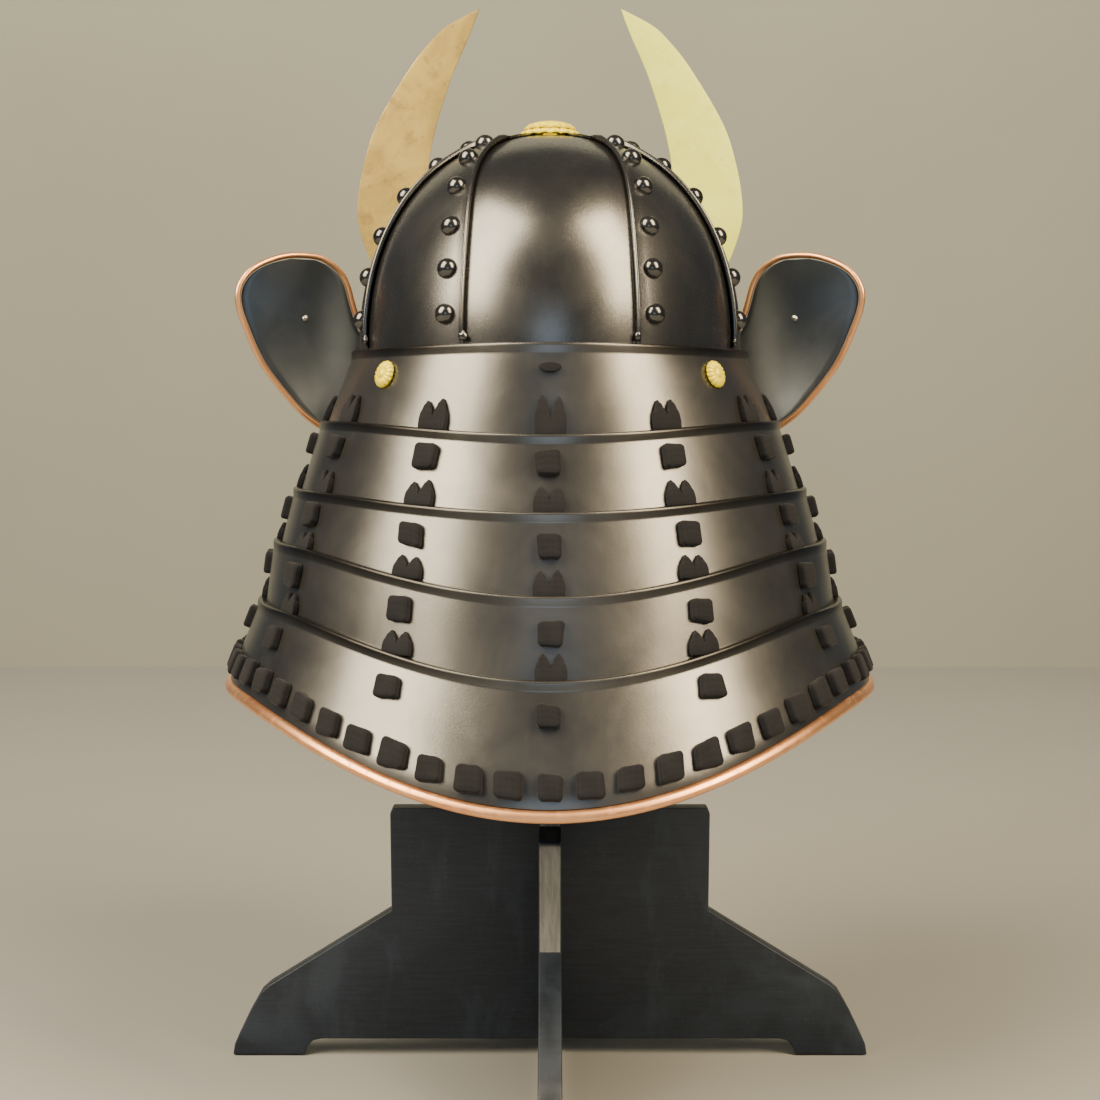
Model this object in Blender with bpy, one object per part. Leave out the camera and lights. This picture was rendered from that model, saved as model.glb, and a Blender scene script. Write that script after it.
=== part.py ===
"""Kabuto samurai helmet resting on its cross-lapped board stand.

Metres, +Z up, floor at z = 0 under the crossing of the boards. The brow faces -Y and the
neck guard faces +Y; the wearer's left is +X. Round parts are placed by an angle measured
from the rear: 0 at +Y, 90 at +X, 180 at -Y.
"""
import math

import bmesh
import bpy
from mathutils import Matrix, Vector

COLLECTION = "kabuto_helmet_on_stand"
TOUCH_GAP = 0.0003            # air left between pieces that touch

HELMET_SHIFT_Y = -0.006       # helmet axis behind the brow side of the stand's crossing
SHEET = 0.0016                # iron sheet of bowl, neck lames and visor

BOWL_HALF_WIDTH = 0.1045
BOWL_HALF_DEPTH = 0.1175
BOWL_RIM_Z = 0.3975
BOWL_HEIGHT = 0.1175
BOWL_POWER = 2.2              # 2 would be an ellipsoid; more is fuller in the shoulders
BOWL_SKIRT = 0.0175           # straight edge below the rim, inside the first lame
PLATE_COUNT = 8
PLATE_LAP = 0.0145            # width that a plate runs on under its neighbour
LAP_MAX_ANGLE = math.radians(15)
LAP_LIFT = SHEET + TOUCH_GAP
RIB_WIDTH = 0.0012
RIB_HEIGHT = 0.0020
ROW_ANGLES = (0, 13, 27, 41, 54, 66, 76.5, 80.5, 84.5)
RIB_ROWS = (0, 1, 1, 1, 1, 1, 1, 0, 0)

RIVET_RADIUS = 0.0045
RIVET_TALL = 0.0042
RIVET_SIDE_STEP = 0.0115      # rivet centre from the rib's edge
RIVET_SHARES = (0.1362, 0.3294, 0.5149, 0.6979, 0.8426, 0.9277)    # of the bowl's height

LAME_STEP = 0.0050            # how far a lame's shoulder stands out from the one above
SHOULDER_DROP = 0.0050
LAME_TUCK = 0.0075            # length hidden behind the next shoulder
COLUMN_STEP = 8.0             # degrees between the lames' columns
# how far each edge stands outside the bowl at the side and at the rear, how far it lies
# above the bowl's rim at the rear and at the side, and the degrees where it turns level
LAME_EDGES = tuple(
    (BOWL_HALF_WIDTH + wide, BOWL_HALF_DEPTH + deep, BOWL_RIM_Z + rear, BOWL_RIM_Z + side, level)
    for wide, deep, rear, side, level in (
        (0.0055, 0.0053, 0.0015, 0.0000, 62),
        (0.0234, 0.0170, -0.0437, -0.0380, 62),
        (0.0382, 0.0320, -0.0813, -0.0746, 62),
        (0.0493, 0.0455, -0.1209, -0.1030, 62),
        (0.0580, 0.0585, -0.1598, -0.1355, 62),
        (0.0755, 0.0800, -0.2235, -0.1840, 68),
    )
)
EDGE_NAMES = ("half_width", "depth", "rear_z", "side_z", "level_angle")
LAME_END_COLUMNS = (16, 14, 14, 14, 14)

RIM_BAND_TALL = 0.0058
RIM_BAND_THICK = 0.0030

EAR_SLOPE = 0.62              # y gained per x: the ears sweep outward and back
EAR_PLANE_X = BOWL_HALF_WIDTH + 0.0169
EAR_PLANE_Y = -0.5175 * BOWL_HALF_DEPTH
EAR_CUP = 1.6                 # curving of the ear toward the rear, per metre squared
# z from the bowl's rim, inner x and outer x from the bowl's side, seen from the rear
EAR_ROWS = tuple(
    (BOWL_RIM_Z + up, BOWL_HALF_WIDTH + inner, BOWL_HALF_WIDTH + outer)
    for up, inner, outer in (
        (-0.0430, -0.0090, 0.0245),
        (-0.0335, -0.0095, 0.0367),
        (-0.0214, -0.0100, 0.0470),
        (-0.0083, -0.0095, 0.0564),
        (0.0025, -0.0025, 0.0619),
        (0.0139, 0.0085, 0.0662),
        (0.0245, 0.0123, 0.0696),
        (0.0328, 0.0145, 0.0705),
        (0.0400, 0.0163, 0.0684),
        (0.0467, 0.0195, 0.0631),
        (0.0517, 0.0250, 0.0545),
        (0.0547, 0.0320, 0.0445),
    )
)
EAR_RIM_RADIUS = 0.0017
EAR_PIN_X = BOWL_HALF_WIDTH + 0.0379
EAR_PIN_Z = BOWL_RIM_Z + 0.0207

VISOR_HALF_ANGLE = 51.0       # degrees either side of the brow's middle
VISOR_REACH = 0.0600
VISOR_DROP = 0.0200
VISOR_FLARE = 0.22            # widening of the visor toward its free edge
VISOR_STATIONS = (0.0, 0.33, 0.67, 1.0)
VISOR_Z = BOWL_RIM_Z - 0.0045
VISOR_RIM_RADIUS = 0.0019

HORN_Y = -(BOWL_HALF_DEPTH + 0.0115)    # rear face of the horns from the helmet axis
HORN_THICK = 0.0020
# x and height above the holder's foot, up the outer edge to the tip and down the inner edge
HORN_OUTLINE = (
    (0.0860, 0.03995), (0.0955, 0.04645), (0.1040, 0.05445), (0.1105, 0.06395),
    (0.1152, 0.07495), (0.1188, 0.08695), (0.1199, 0.09695), (0.1181, 0.11465),
    (0.1117, 0.14025), (0.1024, 0.16005), (0.0854, 0.18685), (0.0735, 0.20145),
    (0.0630, 0.21095), (0.0437, 0.22095), (0.0496, 0.20555), (0.0562, 0.19095),
    (0.0620, 0.17675), (0.0706, 0.14955), (0.0752, 0.12835), (0.0775, 0.10595),
    (0.0778, 0.08495), (0.0765, 0.06695), (0.0735, 0.05295),
)
HOLDER_THICK = 0.0022
# right half of the holder, from its foot outward and back to the middle of its top
HOLDER_OUTLINE = (
    (0.0000, 0.00000), (0.0220, 0.00000), (0.0400, 0.00515), (0.0650, 0.01595),
    (0.0880, 0.03045), (0.1015, 0.04195), (0.1110, 0.05295), (0.1150, 0.06145),
    (0.0740, 0.06895), (0.0700, 0.05695), (0.0600, 0.04595), (0.0450, 0.03795),
    (0.0250, 0.03495), (0.0090, 0.03895), (0.0000, 0.04695),
)

GOLD_RIVET_ANGLE = 48.0
GOLD_RIVET_Z = BOWL_RIM_Z - 0.0140
GOLD_RIVET_RADIUS = 0.0072
GOLD_RIVET_TALL = 0.0034

BOARD = 0.0120
FOOT_HALF = 0.1800
POST_HALF = 0.0550
SEAT_INSET = 0.0051           # top of the post below the bowl's outer face
# x and z of half a stand board, from the underside outward and up to the seat
BOARD_OUTLINE = (
    (0.0000, 0.0093), (0.1300, 0.0093), (0.1345, 0.0082), (0.1378, 0.0050), (0.1392, 0.0000),
    (FOOT_HALF, 0.0000), (0.1790, 0.0062), (0.1760, 0.0130), (0.1705, 0.0245),
    (0.1640, 0.0360), (0.1590, 0.0405), (0.0895, 0.0837), (0.0900, 0.1390),
    (0.0885, 0.1420), (POST_HALF, 0.1420),
)
BOARD_FIT = 0.0006            # slot wider than the board that slides into it
CROSSING_Z = 0.2550           # where the two slots meet

BOSS_RADIUS = 0.0165
BOSS_HOLE = 0.0040


def make_material(name, color, roughness, metallic, coat=0.0):
    material = bpy.data.materials.new(name)
    material.use_nodes = True
    shader = material.node_tree.nodes["Principled BSDF"]
    shader.inputs["Base Color"].default_value = (*color, 1.0)
    shader.inputs["Roughness"].default_value = roughness
    shader.inputs["Metallic"].default_value = metallic
    shader.inputs["Coat Weight"].default_value = coat
    material.diffuse_color = (*color, 1.0)
    return material


def make_collection(name, hidden=False):
    collection = bpy.data.collections.new(name)
    bpy.context.scene.collection.children.link(collection)
    collection.hide_render = hidden
    return collection


def add_object(name, points, faces, material=None, collection=None, smooth=False):
    """One closed body from points and faces, its faces turned outward."""
    mesh = bpy.data.meshes.new(name)
    mesh.from_pydata([tuple(p) for p in points], [], faces)
    work = bmesh.new()
    work.from_mesh(mesh)
    bmesh.ops.remove_doubles(work, verts=work.verts, dist=1e-6)
    bmesh.ops.recalc_face_normals(work, faces=work.faces)
    for face in work.faces:
        face.smooth = smooth
    work.to_mesh(mesh)
    work.free()
    thing = bpy.data.objects.new(name, mesh)
    (collection or PARTS).objects.link(thing)
    if material:
        mesh.materials.append(material)
    return thing


def shift(points, dx=0.0, dy=0.0, dz=0.0):
    return [(x + dx, y + dy, z + dz) for x, y, z in points]


def loft(rings, capped=True):
    """Points and faces of a body swept through closed rings of equal length."""
    count = len(rings[0])
    points = [point for ring in rings for point in ring]
    faces = []
    for r in range(len(rings) - 1):
        for i in range(count):
            j = (i + 1) % count
            faces.append((r * count + i, r * count + j, (r + 1) * count + j, (r + 1) * count + i))
    if capped:
        faces.append(tuple(range(count)))
        faces.append(tuple(range((len(rings) - 1) * count, len(rings) * count)))
    return points, faces


def two_sided(front, back):
    """Points and faces of a sheet given as two matching grids of points."""
    rows, columns = len(front), len(front[0])
    points = [p for row in front for p in row] + [p for row in back for p in row]
    half = rows * columns
    faces = []
    for r in range(rows - 1):
        for c in range(columns - 1):
            a, b = r * columns + c, r * columns + c + 1
            d, e = a + columns, b + columns
            faces.append((a, b, e, d))
            faces.append((half + a, half + d, half + e, half + b))
    edge = [c for c in range(columns)]
    edge += [r * columns + columns - 1 for r in range(1, rows)]
    edge += [(rows - 1) * columns + c for c in range(columns - 2, -1, -1)]
    edge += [r * columns for r in range(rows - 2, 0, -1)]
    for i in range(len(edge)):
        a, b = edge[i], edge[(i + 1) % len(edge)]
        faces.append((a, b, half + b, half + a))
    return points, faces


def prism(outline, axis, start, end):
    """A flat outline carried from start to end along x or y."""
    if axis == "y":
        rings = [[(u, depth, v) for u, v in outline] for depth in (start, end)]
    else:
        rings = [[(depth, u, v) for u, v in outline] for depth in (start, end)]
    return loft(rings)


def tube(path, radius, sides=8, turn=0.5):
    """A round bar along an open path."""
    rings = []
    path = [Vector(p) for p in path]
    for i, point in enumerate(path):
        ahead = path[min(i + 1, len(path) - 1)] - path[max(i - 1, 0)]
        ahead.normalize()
        side = ahead.orthogonal().normalized()
        if rings:
            side = last_side - ahead * last_side.dot(ahead)
            side.normalize()
        last_side = side
        up = ahead.cross(side)
        ring = []
        for k in range(sides):
            angle = 2 * math.pi * (k + turn) / sides
            ring.append(tuple(point + radius * (math.cos(angle) * side + math.sin(angle) * up)))
        rings.append(ring)
    return loft(rings)


def boolean(target, cutter, operation):
    """Cut or join at once, then drop the tool."""
    modifier = target.modifiers.new(operation.lower(), "BOOLEAN")
    modifier.operation = operation
    modifier.object = cutter
    modifier.solver = "EXACT"
    bpy.context.view_layer.update()
    graph = bpy.context.evaluated_depsgraph_get()
    mesh = bpy.data.meshes.new_from_object(target.evaluated_get(graph))
    target.modifiers.clear()
    old = target.data
    target.data = mesh
    bpy.data.meshes.remove(old)
    bpy.data.objects.remove(cutter, do_unlink=True)


def bowl_point(angle, climb, offset):
    """A point off the bowl's outer surface; climb is 0 at the rim and 90 at the top."""
    climb = math.radians(climb)
    across = math.cos(climb) ** (2 / BOWL_POWER)
    rise = math.sin(climb) ** (2 / BOWL_POWER)
    x = BOWL_HALF_WIDTH * across * math.sin(angle)
    y = BOWL_HALF_DEPTH * across * math.cos(angle)
    flat = across ** (BOWL_POWER - 2)
    normal = Vector((
        flat * x / BOWL_HALF_WIDTH ** 2,
        flat * y / BOWL_HALF_DEPTH ** 2,
        rise ** (BOWL_POWER - 1) / BOWL_HEIGHT,
    )).normalized()
    return Vector((x, y, BOWL_RIM_Z + BOWL_HEIGHT * rise)) + offset * normal, normal


def arc_angle(length, climb):
    """The angle that an arc of the given length takes up around the bowl."""
    radius = 0.5 * (BOWL_HALF_WIDTH + BOWL_HALF_DEPTH)
    radius *= math.cos(math.radians(climb)) ** (2 / BOWL_POWER)
    return length / radius


def plate_columns(climb, rib, middle, over_low, over_high):
    """Angles and offsets across one plate at one height, low angle to high angle."""
    half = math.pi / PLATE_COUNT
    lap = min(arc_angle(PLATE_LAP, climb), LAP_MAX_ANGLE)
    edge = min(arc_angle(RIB_WIDTH, climb), math.radians(5))
    foot = edge * 1.2
    dip = LAP_LIFT * lap / (2 * half) + 0.0001
    low_lift = LAP_LIFT if over_low else 0.0
    high_lift = LAP_LIFT if over_high else 0.0

    def lift(local):
        share = (local + half) / (2 * half)
        return low_lift + (high_lift - low_lift) * share

    spots = []
    if over_low:
        spots += [(-half, lift(-half) + rib), (-half + edge, lift(-half) + rib)]
        spots += [(-half + foot, lift(-half + foot)), (-half + lap, lift(-half + lap))]
    else:
        spots += [(-half - lap, -dip), (-half, 0.0), (-half + lap, lift(-half + lap))]
    for share in (-0.25, 0.25):
        spots.append((share * half, lift(share * half)))
    if over_high:
        spots += [(half - lap, lift(half - lap)), (half - foot, lift(half - foot))]
        spots += [(half - edge, lift(half) + rib), (half, lift(half) + rib)]
    else:
        spots += [(half - lap, lift(half - lap)), (half, 0.0), (half + lap, -dip)]
    return [(middle + local, offset) for local, offset in spots]


def make_plate(name, degrees, over_low, over_high, material):
    """One bowl plate with its raised edge ribs and the rivets beside them."""
    middle = math.radians(degrees)
    outer, inner = [], []
    skirt = True
    for climb, rib_share in zip((0,) + ROW_ANGLES, (0,) + RIB_ROWS):
        row_out, row_in = [], []
        spots = plate_columns(climb, rib_share * RIB_HEIGHT, middle, over_low, over_high)
        for angle, offset in spots:
            top, normal = bowl_point(angle, climb, offset)
            plain, normal = bowl_point(angle, climb, min(offset, LAP_LIFT) - SHEET)
            if skirt:
                top.z = plain.z = BOWL_RIM_Z - BOWL_SKIRT
            row_out.append(tuple(top))
            row_in.append(tuple(plain))
        outer.append(row_out)
        inner.append(row_in)
        skirt = False
    points, faces = two_sided(outer, inner)
    plate = add_object(name, shift(points, dy=HELMET_SHIFT_Y), faces, material)
    heads = []
    half = math.pi / PLATE_COUNT
    for side, over in ((-1, over_low), (1, over_high)):
        if not over:
            continue
        for share in RIVET_SHARES:
            climb = math.degrees(math.asin(share ** (BOWL_POWER / 2)))
            step = arc_angle(RIVET_SIDE_STEP, climb)
            angle = middle + side * (half - step)
            inset = step / (2 * half)
            offset = LAP_LIFT if over_low and over_high else LAP_LIFT * (1 - inset)
            heads.append(bowl_point(angle, climb, offset))
    if heads:
        boolean(plate, make_rivet_heads(heads), "UNION")
    return plate


def dome_rings(radius, tall, sides, levels, sink):
    """Rings of a round head along +Z: a sunk foot, then levels up to a small flat top."""
    rings = [[(radius, -sink)]] if sink > 0 else []
    first = 1 if sink > 0 else 0
    for level in range(first, levels):
        angle = math.radians(76) * level / (levels - 1)
        rings.append([(radius * math.cos(angle), tall * math.sin(angle))])
    circles = []
    for ((across, up),) in rings:
        circles.append([
            (across * math.cos(2 * math.pi * k / sides), across * math.sin(2 * math.pi * k / sides), up)
            for k in range(sides)
        ])
    return circles


def make_rivet_heads(spots):
    points, faces = [], []
    for center, normal in spots:
        ring_points, ring_faces = loft(dome_rings(RIVET_RADIUS, RIVET_TALL, 8, 3, 0.0011))
        turn = normal.to_track_quat("Z", "Y").to_matrix().to_4x4()
        place = Matrix.Translation(center + Vector((0, HELMET_SHIFT_Y, 0))) @ turn
        base = len(points)
        points += [tuple(place @ Vector(p)) for p in ring_points]
        faces += [tuple(base + i for i in face) for face in ring_faces]
    return add_object("rivet_heads", points, faces, collection=TOOLS)


def edge_height(edge, angle):
    """Height of a lame's edge: lowest at the rear, level along the sides."""
    values = dict(zip(EDGE_NAMES, edge))
    level = math.radians(values["level_angle"])
    share = math.sin(min(abs(angle), level) / level * math.pi / 2) ** 2
    return values["rear_z"] + (values["side_z"] - values["rear_z"]) * share


def lame_section(index, angle):
    """Closed section of one lame at one angle as (outset, height), outside then inside."""
    top, below = LAME_EDGES[index], LAME_EDGES[index + 1]
    z_top, z_below = edge_height(top, angle), edge_height(below, angle)
    last = index == len(LAME_EDGES) - 2
    z_face = z_top - SHOULDER_DROP
    lip = 0.0030 if index == 0 else LAME_STEP - 1.6 * TOUCH_GAP
    outset_below = 0.0 if last else -LAME_STEP
    spots = [("top", -lip, z_top), ("top", -0.0016, z_top - 0.0004)]
    spots += [("top", -0.0004, z_top - 0.0020), ("top", 0.0, z_face)]
    half = []
    for outset in (top[0], top[1]):
        reach = below[0 if outset == top[0] else 1] + outset_below
        slope = (reach - outset) / (z_face - z_below)
        z_end = z_below + RIM_BAND_TALL + 1.5 * TOUCH_GAP if last else z_below - LAME_TUCK
        end = outset + slope * (z_face - z_end)
        sheet = SHEET * math.sqrt(1 + slope * slope)
        half.append({
            "outer": [outset + s[1] for s in spots] + [end],
            "inner": [outset - lip + 0.0004, outset - 0.0023, outset - sheet, end - sheet],
        })
    z_outer = [s[2] for s in spots] + [z_end]
    z_inner = [z_top - 0.0009, z_top - 0.0026, z_face - 0.0006, z_end]
    ring = []
    for a, b, z in zip(half[0]["outer"], half[1]["outer"], z_outer):
        ring.append((a * math.sin(angle), b * math.cos(angle), z))
    inner = list(zip(half[0]["inner"], half[1]["inner"], z_inner))
    for a, b, z in reversed(inner):
        ring.append((a * math.sin(angle), b * math.cos(angle), z))
    return ring


def make_lame(index, material):
    columns = LAME_END_COLUMNS[index]
    rings = []
    for column in range(-columns, columns + 1):
        rings.append(lame_section(index, math.radians(column * COLUMN_STEP)))
    points, faces = loft(rings)
    name = "neck_lame_%d" % (index + 1)
    return add_object(name, shift(points, dy=HELMET_SHIFT_Y), faces, material)


def ear_depth(x):
    """y of the ear's rear face at a distance from the middle."""
    straight = EAR_PLANE_Y + (x - EAR_PLANE_X) * EAR_SLOPE
    return straight + EAR_CUP * max(x - EAR_PLANE_X, 0.0) ** 2


def ear_grid(back_step):
    rows = []
    for z, inner, outer in EAR_ROWS:
        row = []
        for share in (0.0, 0.3, 0.6, 0.85, 1.0):
            x = inner + (outer - inner) * share
            slope = EAR_SLOPE + 2 * EAR_CUP * max(x - EAR_PLANE_X, 0.0)
            normal = Vector((-slope, 1.0, 0.0)).normalized()
            row.append(tuple(Vector((x, ear_depth(x), z)) - back_step * normal))
        rows.append(row)
    return rows


def mirror_points(points):
    return [(-x, y, z) for x, y, z in points]


def make_ear_rim(name, mirrored, material):
    """Round edging outside the ear's free edge, from its foot over the top."""
    path = []
    reach = EAR_RIM_RADIUS + TOUCH_GAP
    outline = [(outer, z) for z, inner, outer in EAR_ROWS]
    outline += [(inner, z) for z, inner, outer in reversed(EAR_ROWS[5:])]
    for i, (x, z) in enumerate(outline):
        before = Vector(outline[max(i - 1, 0)])
        after = Vector(outline[min(i + 1, len(outline) - 1)])
        along = (after - before).normalized()
        x_out = x + along.y * reach
        z_out = z - along.x * reach
        slope = EAR_SLOPE + 2 * EAR_CUP * max(x - EAR_PLANE_X, 0.0)
        normal = Vector((-slope, 1.0, 0.0)).normalized()
        path.append(Vector((x_out, ear_depth(x_out), z_out)) - 0.5 * SHEET * normal)
    points, faces = tube(path, EAR_RIM_RADIUS, sides=8)
    points = shift(points, dy=HELMET_SHIFT_Y)
    if mirrored:
        points = mirror_points(points)
    return add_object(name, points, faces, material, smooth=True)


def make_neck_rim(material):
    edge = LAME_EDGES[-1]
    last = LAME_END_COLUMNS[-1]
    rings = []
    for column in range(-last, last + 1):
        angle = math.radians(column * COLUMN_STEP)
        z = edge_height(edge, angle)
        ring = []
        for outset, up in ((-RIM_BAND_THICK, 0.0010), (-0.0010, 0.0), (0.0004, 0.0010),
                           (0.0003, RIM_BAND_TALL - 0.0010), (-0.0008, RIM_BAND_TALL),
                           (-RIM_BAND_THICK, RIM_BAND_TALL)):
            lean = (RIM_BAND_TALL - up) * 0.30 - 0.0012
            a, b = edge[0] + outset + lean, edge[1] + outset + lean
            ring.append((a * math.sin(angle), b * math.cos(angle), z + up))
        rings.append(ring)
    points, faces = loft(rings)
    return add_object("neck_rim", shift(points, dy=HELMET_SHIFT_Y), faces, material, smooth=True)


def visor_point(angle, share, drop=0.0):
    """A point of the visor: share 0 at the bowl and 1 at the free edge."""
    swell = math.cos(angle / math.radians(VISOR_HALF_ANGLE) * math.pi / 2)
    swell = max(swell, 0.0) ** 0.5
    inner_x = (BOWL_HALF_WIDTH + LAP_LIFT + 0.0005) * math.sin(angle)
    inner_y = -(BOWL_HALF_DEPTH + LAP_LIFT + 0.0005) * math.cos(angle)
    x = inner_x * (1 + VISOR_FLARE * swell * share)
    y = inner_y - VISOR_REACH * swell * share
    z = VISOR_Z - VISOR_DROP * swell * share + 0.005 * swell * 4 * share * (1 - share) - drop
    z -= 0.0060 * share
    x += 0.0045 * share * math.copysign(1, angle) * (1 - swell) if angle else 0.0
    y -= 0.0020 * share
    return x, y, z


def visor_angles():
    return [math.radians(VISOR_HALF_ANGLE) * k / 8 for k in range(-8, 9)]


def make_visor(material):
    top, under = [], []
    for angle in visor_angles():
        top.append([visor_point(angle, share) for share in VISOR_STATIONS])
        under.append([visor_point(angle, share, SHEET) for share in VISOR_STATIONS])
    points, faces = two_sided(top, under)
    return add_object("visor", shift(points, dy=HELMET_SHIFT_Y), faces, material)


def make_visor_rim(material):
    path = []
    for angle in visor_angles()[1:-1]:
        edge = Vector(visor_point(angle, 1.0, SHEET / 2))
        away = edge - Vector(visor_point(angle, 0.8, SHEET / 2))
        along = Vector(visor_point(angle + 0.1, 1.0)) - Vector(visor_point(angle - 0.1, 1.0))
        along.normalize()
        away = (away - along * away.dot(along)).normalized()
        path.append(edge + away * (VISOR_RIM_RADIUS + 3 * TOUCH_GAP))
    points, faces = tube(path, VISOR_RIM_RADIUS, sides=6)
    return add_object("visor_rim", shift(points, dy=HELMET_SHIFT_Y), faces, material, smooth=True)


def holder_foot():
    """Height of the holder's foot, just above the visor's top face at the holder's rear."""
    rear = HORN_Y - HORN_THICK - TOUCH_GAP
    stations = [visor_point(0.0, share) for share in VISOR_STATIONS]
    for near, far in zip(stations, stations[1:]):
        if far[1] <= rear:
            share = (near[1] - rear) / (near[1] - far[1])
            return near[2] + (far[2] - near[2]) * share + 1.2 * TOUCH_GAP
    return stations[-1][2]


def raised(outline):
    foot = holder_foot()
    return [(x, foot + up) for x, up in outline]


def make_horn(name, mirrored, material):
    rear = HORN_Y + HELMET_SHIFT_Y
    points, faces = prism(raised(HORN_OUTLINE), "y", rear, rear - HORN_THICK)
    if mirrored:
        points = mirror_points(points)
    return add_object(name, points, faces, material)


def make_holder(material):
    half = raised(HOLDER_OUTLINE)
    outline = half + [(-x, z) for x, z in reversed(half[1:-1])]
    front = HORN_Y + HELMET_SHIFT_Y - HORN_THICK - TOUCH_GAP
    points, faces = prism(outline, "y", front, front - HOLDER_THICK)
    return add_object("horn_holder", points, faces, material)


def make_boss(material):
    """Crown ring in stepped tiers round the hole at the top of the bowl."""
    top = BOWL_RIM_Z + BOWL_HEIGHT + LAP_LIFT + 1.3 * TOUCH_GAP
    profile = (
        (BOSS_HOLE, 0.0), (0.0120, 0.0), (BOSS_RADIUS, -0.0008), (BOSS_RADIUS, 0.0008),
        (0.0140, 0.0024), (0.0105, 0.0030), (0.0100, 0.0046), (0.0070, 0.0060), (BOSS_HOLE, 0.0062),
    )
    sides = 16
    rings = []
    for k in range(sides):
        angle = 2 * math.pi * k / sides
        ring = []
        for across, up in profile:
            ring.append((across * math.cos(angle), across * math.sin(angle) + HELMET_SHIFT_Y, top + up))
        rings.append(ring)
    rings.append(rings[0])
    points, faces = loft(rings, capped=False)
    return add_object("crown_boss", points, faces, material, smooth=True)


def lame_surface(index, degrees, z):
    """A point on a lame's outer face with its outward direction."""
    angle = math.radians(degrees)
    low = Vector(lame_section(index, angle)[4])
    high = Vector(lame_section(index, angle)[3])
    share = (z - low.z) / (high.z - low.z)
    spot = low + (high - low) * share
    aside = Vector(lame_section(index, angle + 0.02)[4]) - low
    normal = aside.cross(high - low).normalized()
    if normal.x * spot.x + normal.y * spot.y < 0:
        normal = -normal
    return spot, normal


def make_gold_rivet(name, side, material):
    center, normal = lame_surface(0, side * GOLD_RIVET_ANGLE, GOLD_RIVET_Z)
    center = center + normal * TOUCH_GAP
    points, faces = loft(dome_rings(GOLD_RIVET_RADIUS, GOLD_RIVET_TALL, 12, 4, 0.0))
    place = Matrix.Translation(center) @ normal.to_track_quat("Z", "Y").to_matrix().to_4x4()
    points = [tuple(place @ Vector(p)) for p in points]
    return add_object(name, shift(points, dy=HELMET_SHIFT_Y), faces, material, smooth=True)


def make_ear_pin(name, side, material):
    slope = EAR_SLOPE + 2 * EAR_CUP * (EAR_PIN_X - EAR_PLANE_X)
    normal = Vector((-slope, 1.0, 0.0)).normalized()
    center = Vector((EAR_PIN_X, ear_depth(EAR_PIN_X), EAR_PIN_Z)) + normal * (TOUCH_GAP + 0.0001)
    points, faces = loft(dome_rings(0.0020, 0.0012, 10, 3, 0.0))
    place = Matrix.Translation(center) @ normal.to_track_quat("Z", "Y").to_matrix().to_4x4()
    points = shift([tuple(place @ Vector(p)) for p in points], dy=HELMET_SHIFT_Y)
    if side < 0:
        points = mirror_points(points)
    return add_object(name, points, faces, material, smooth=True)


def seat_outline(axis):
    """Rounded top of a post, just under the bowl, from the outside to the middle."""
    spots = []
    across = BOWL_HALF_WIDTH
    if axis == "x":
        across = min(across, BOWL_HALF_DEPTH - abs(HELMET_SHIFT_Y))
    low = math.degrees(math.acos((POST_HALF / across) ** (BOWL_POWER / 2)))
    for share in (0.0, 0.2, 0.4, 0.6, 0.8, 1.0):
        spot, normal = bowl_point(math.pi / 2, low + (90 - low) * share, -SEAT_INSET)
        reach = spot.x * across / BOWL_HALF_WIDTH
        spots.append((POST_HALF if share == 0 else max(reach, 0.0), spot.z))
    spots[-1] = (0.0, spots[-1][1])
    return spots


def make_board(name, axis, slot_from_top, material):
    half = list(BOARD_OUTLINE) + seat_outline(axis)
    outline = half + [(-u, v) for u, v in reversed(half[1:-1])]
    points, faces = prism(outline, axis, -BOARD / 2, BOARD / 2)
    board = add_object(name, points, faces, material)
    wide = BOARD / 2 + BOARD_FIT / 2
    if slot_from_top:
        low, high = CROSSING_Z - TOUCH_GAP / 2, BOWL_RIM_Z + 2 * BOWL_HEIGHT
    else:
        low, high = -BOARD, CROSSING_Z + TOUCH_GAP / 2
    if axis == "y":
        box = [[(-wide, -BOARD, z), (wide, -BOARD, z), (wide, BOARD, z), (-wide, BOARD, z)]
               for z in (low, high)]
    else:
        box = [[(-BOARD, -wide, z), (BOARD, -wide, z), (BOARD, wide, z), (-BOARD, wide, z)]
               for z in (low, high)]
    points, faces = loft(box)
    boolean(board, add_object("slot", points, faces, collection=TOOLS), "DIFFERENCE")
    return board


for thing in list(bpy.data.objects):
    bpy.data.objects.remove(thing, do_unlink=True)

PARTS = make_collection(COLLECTION)
TOOLS = make_collection("tools", hidden=True)

black_lacquer = make_material("black_lacquer", (0.030, 0.028, 0.027), 0.36, 0.55, 0.25)
lame_lacquer = make_material("lame_lacquer", (0.060, 0.054, 0.048), 0.38, 0.75, 0.15)
copper_edging = make_material("copper_edging", (0.55, 0.25, 0.15), 0.30, 1.0)
horn_brass = make_material("horn_brass", (0.62, 0.55, 0.20), 0.32, 1.0)
holder_brass = make_material("holder_brass", (0.60, 0.50, 0.20), 0.34, 1.0)
gold_fitting = make_material("gold_fitting", (0.90, 0.72, 0.14), 0.28, 1.0)
bright_steel = make_material("bright_steel", (0.72, 0.70, 0.66), 0.25, 1.0)
stand_paint = make_material("stand_paint", (0.018, 0.024, 0.034), 0.55, 0.0)

make_board("stand_cross_board", "y", True, stand_paint)
make_board("stand_fore_board", "x", False, stand_paint)

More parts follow.
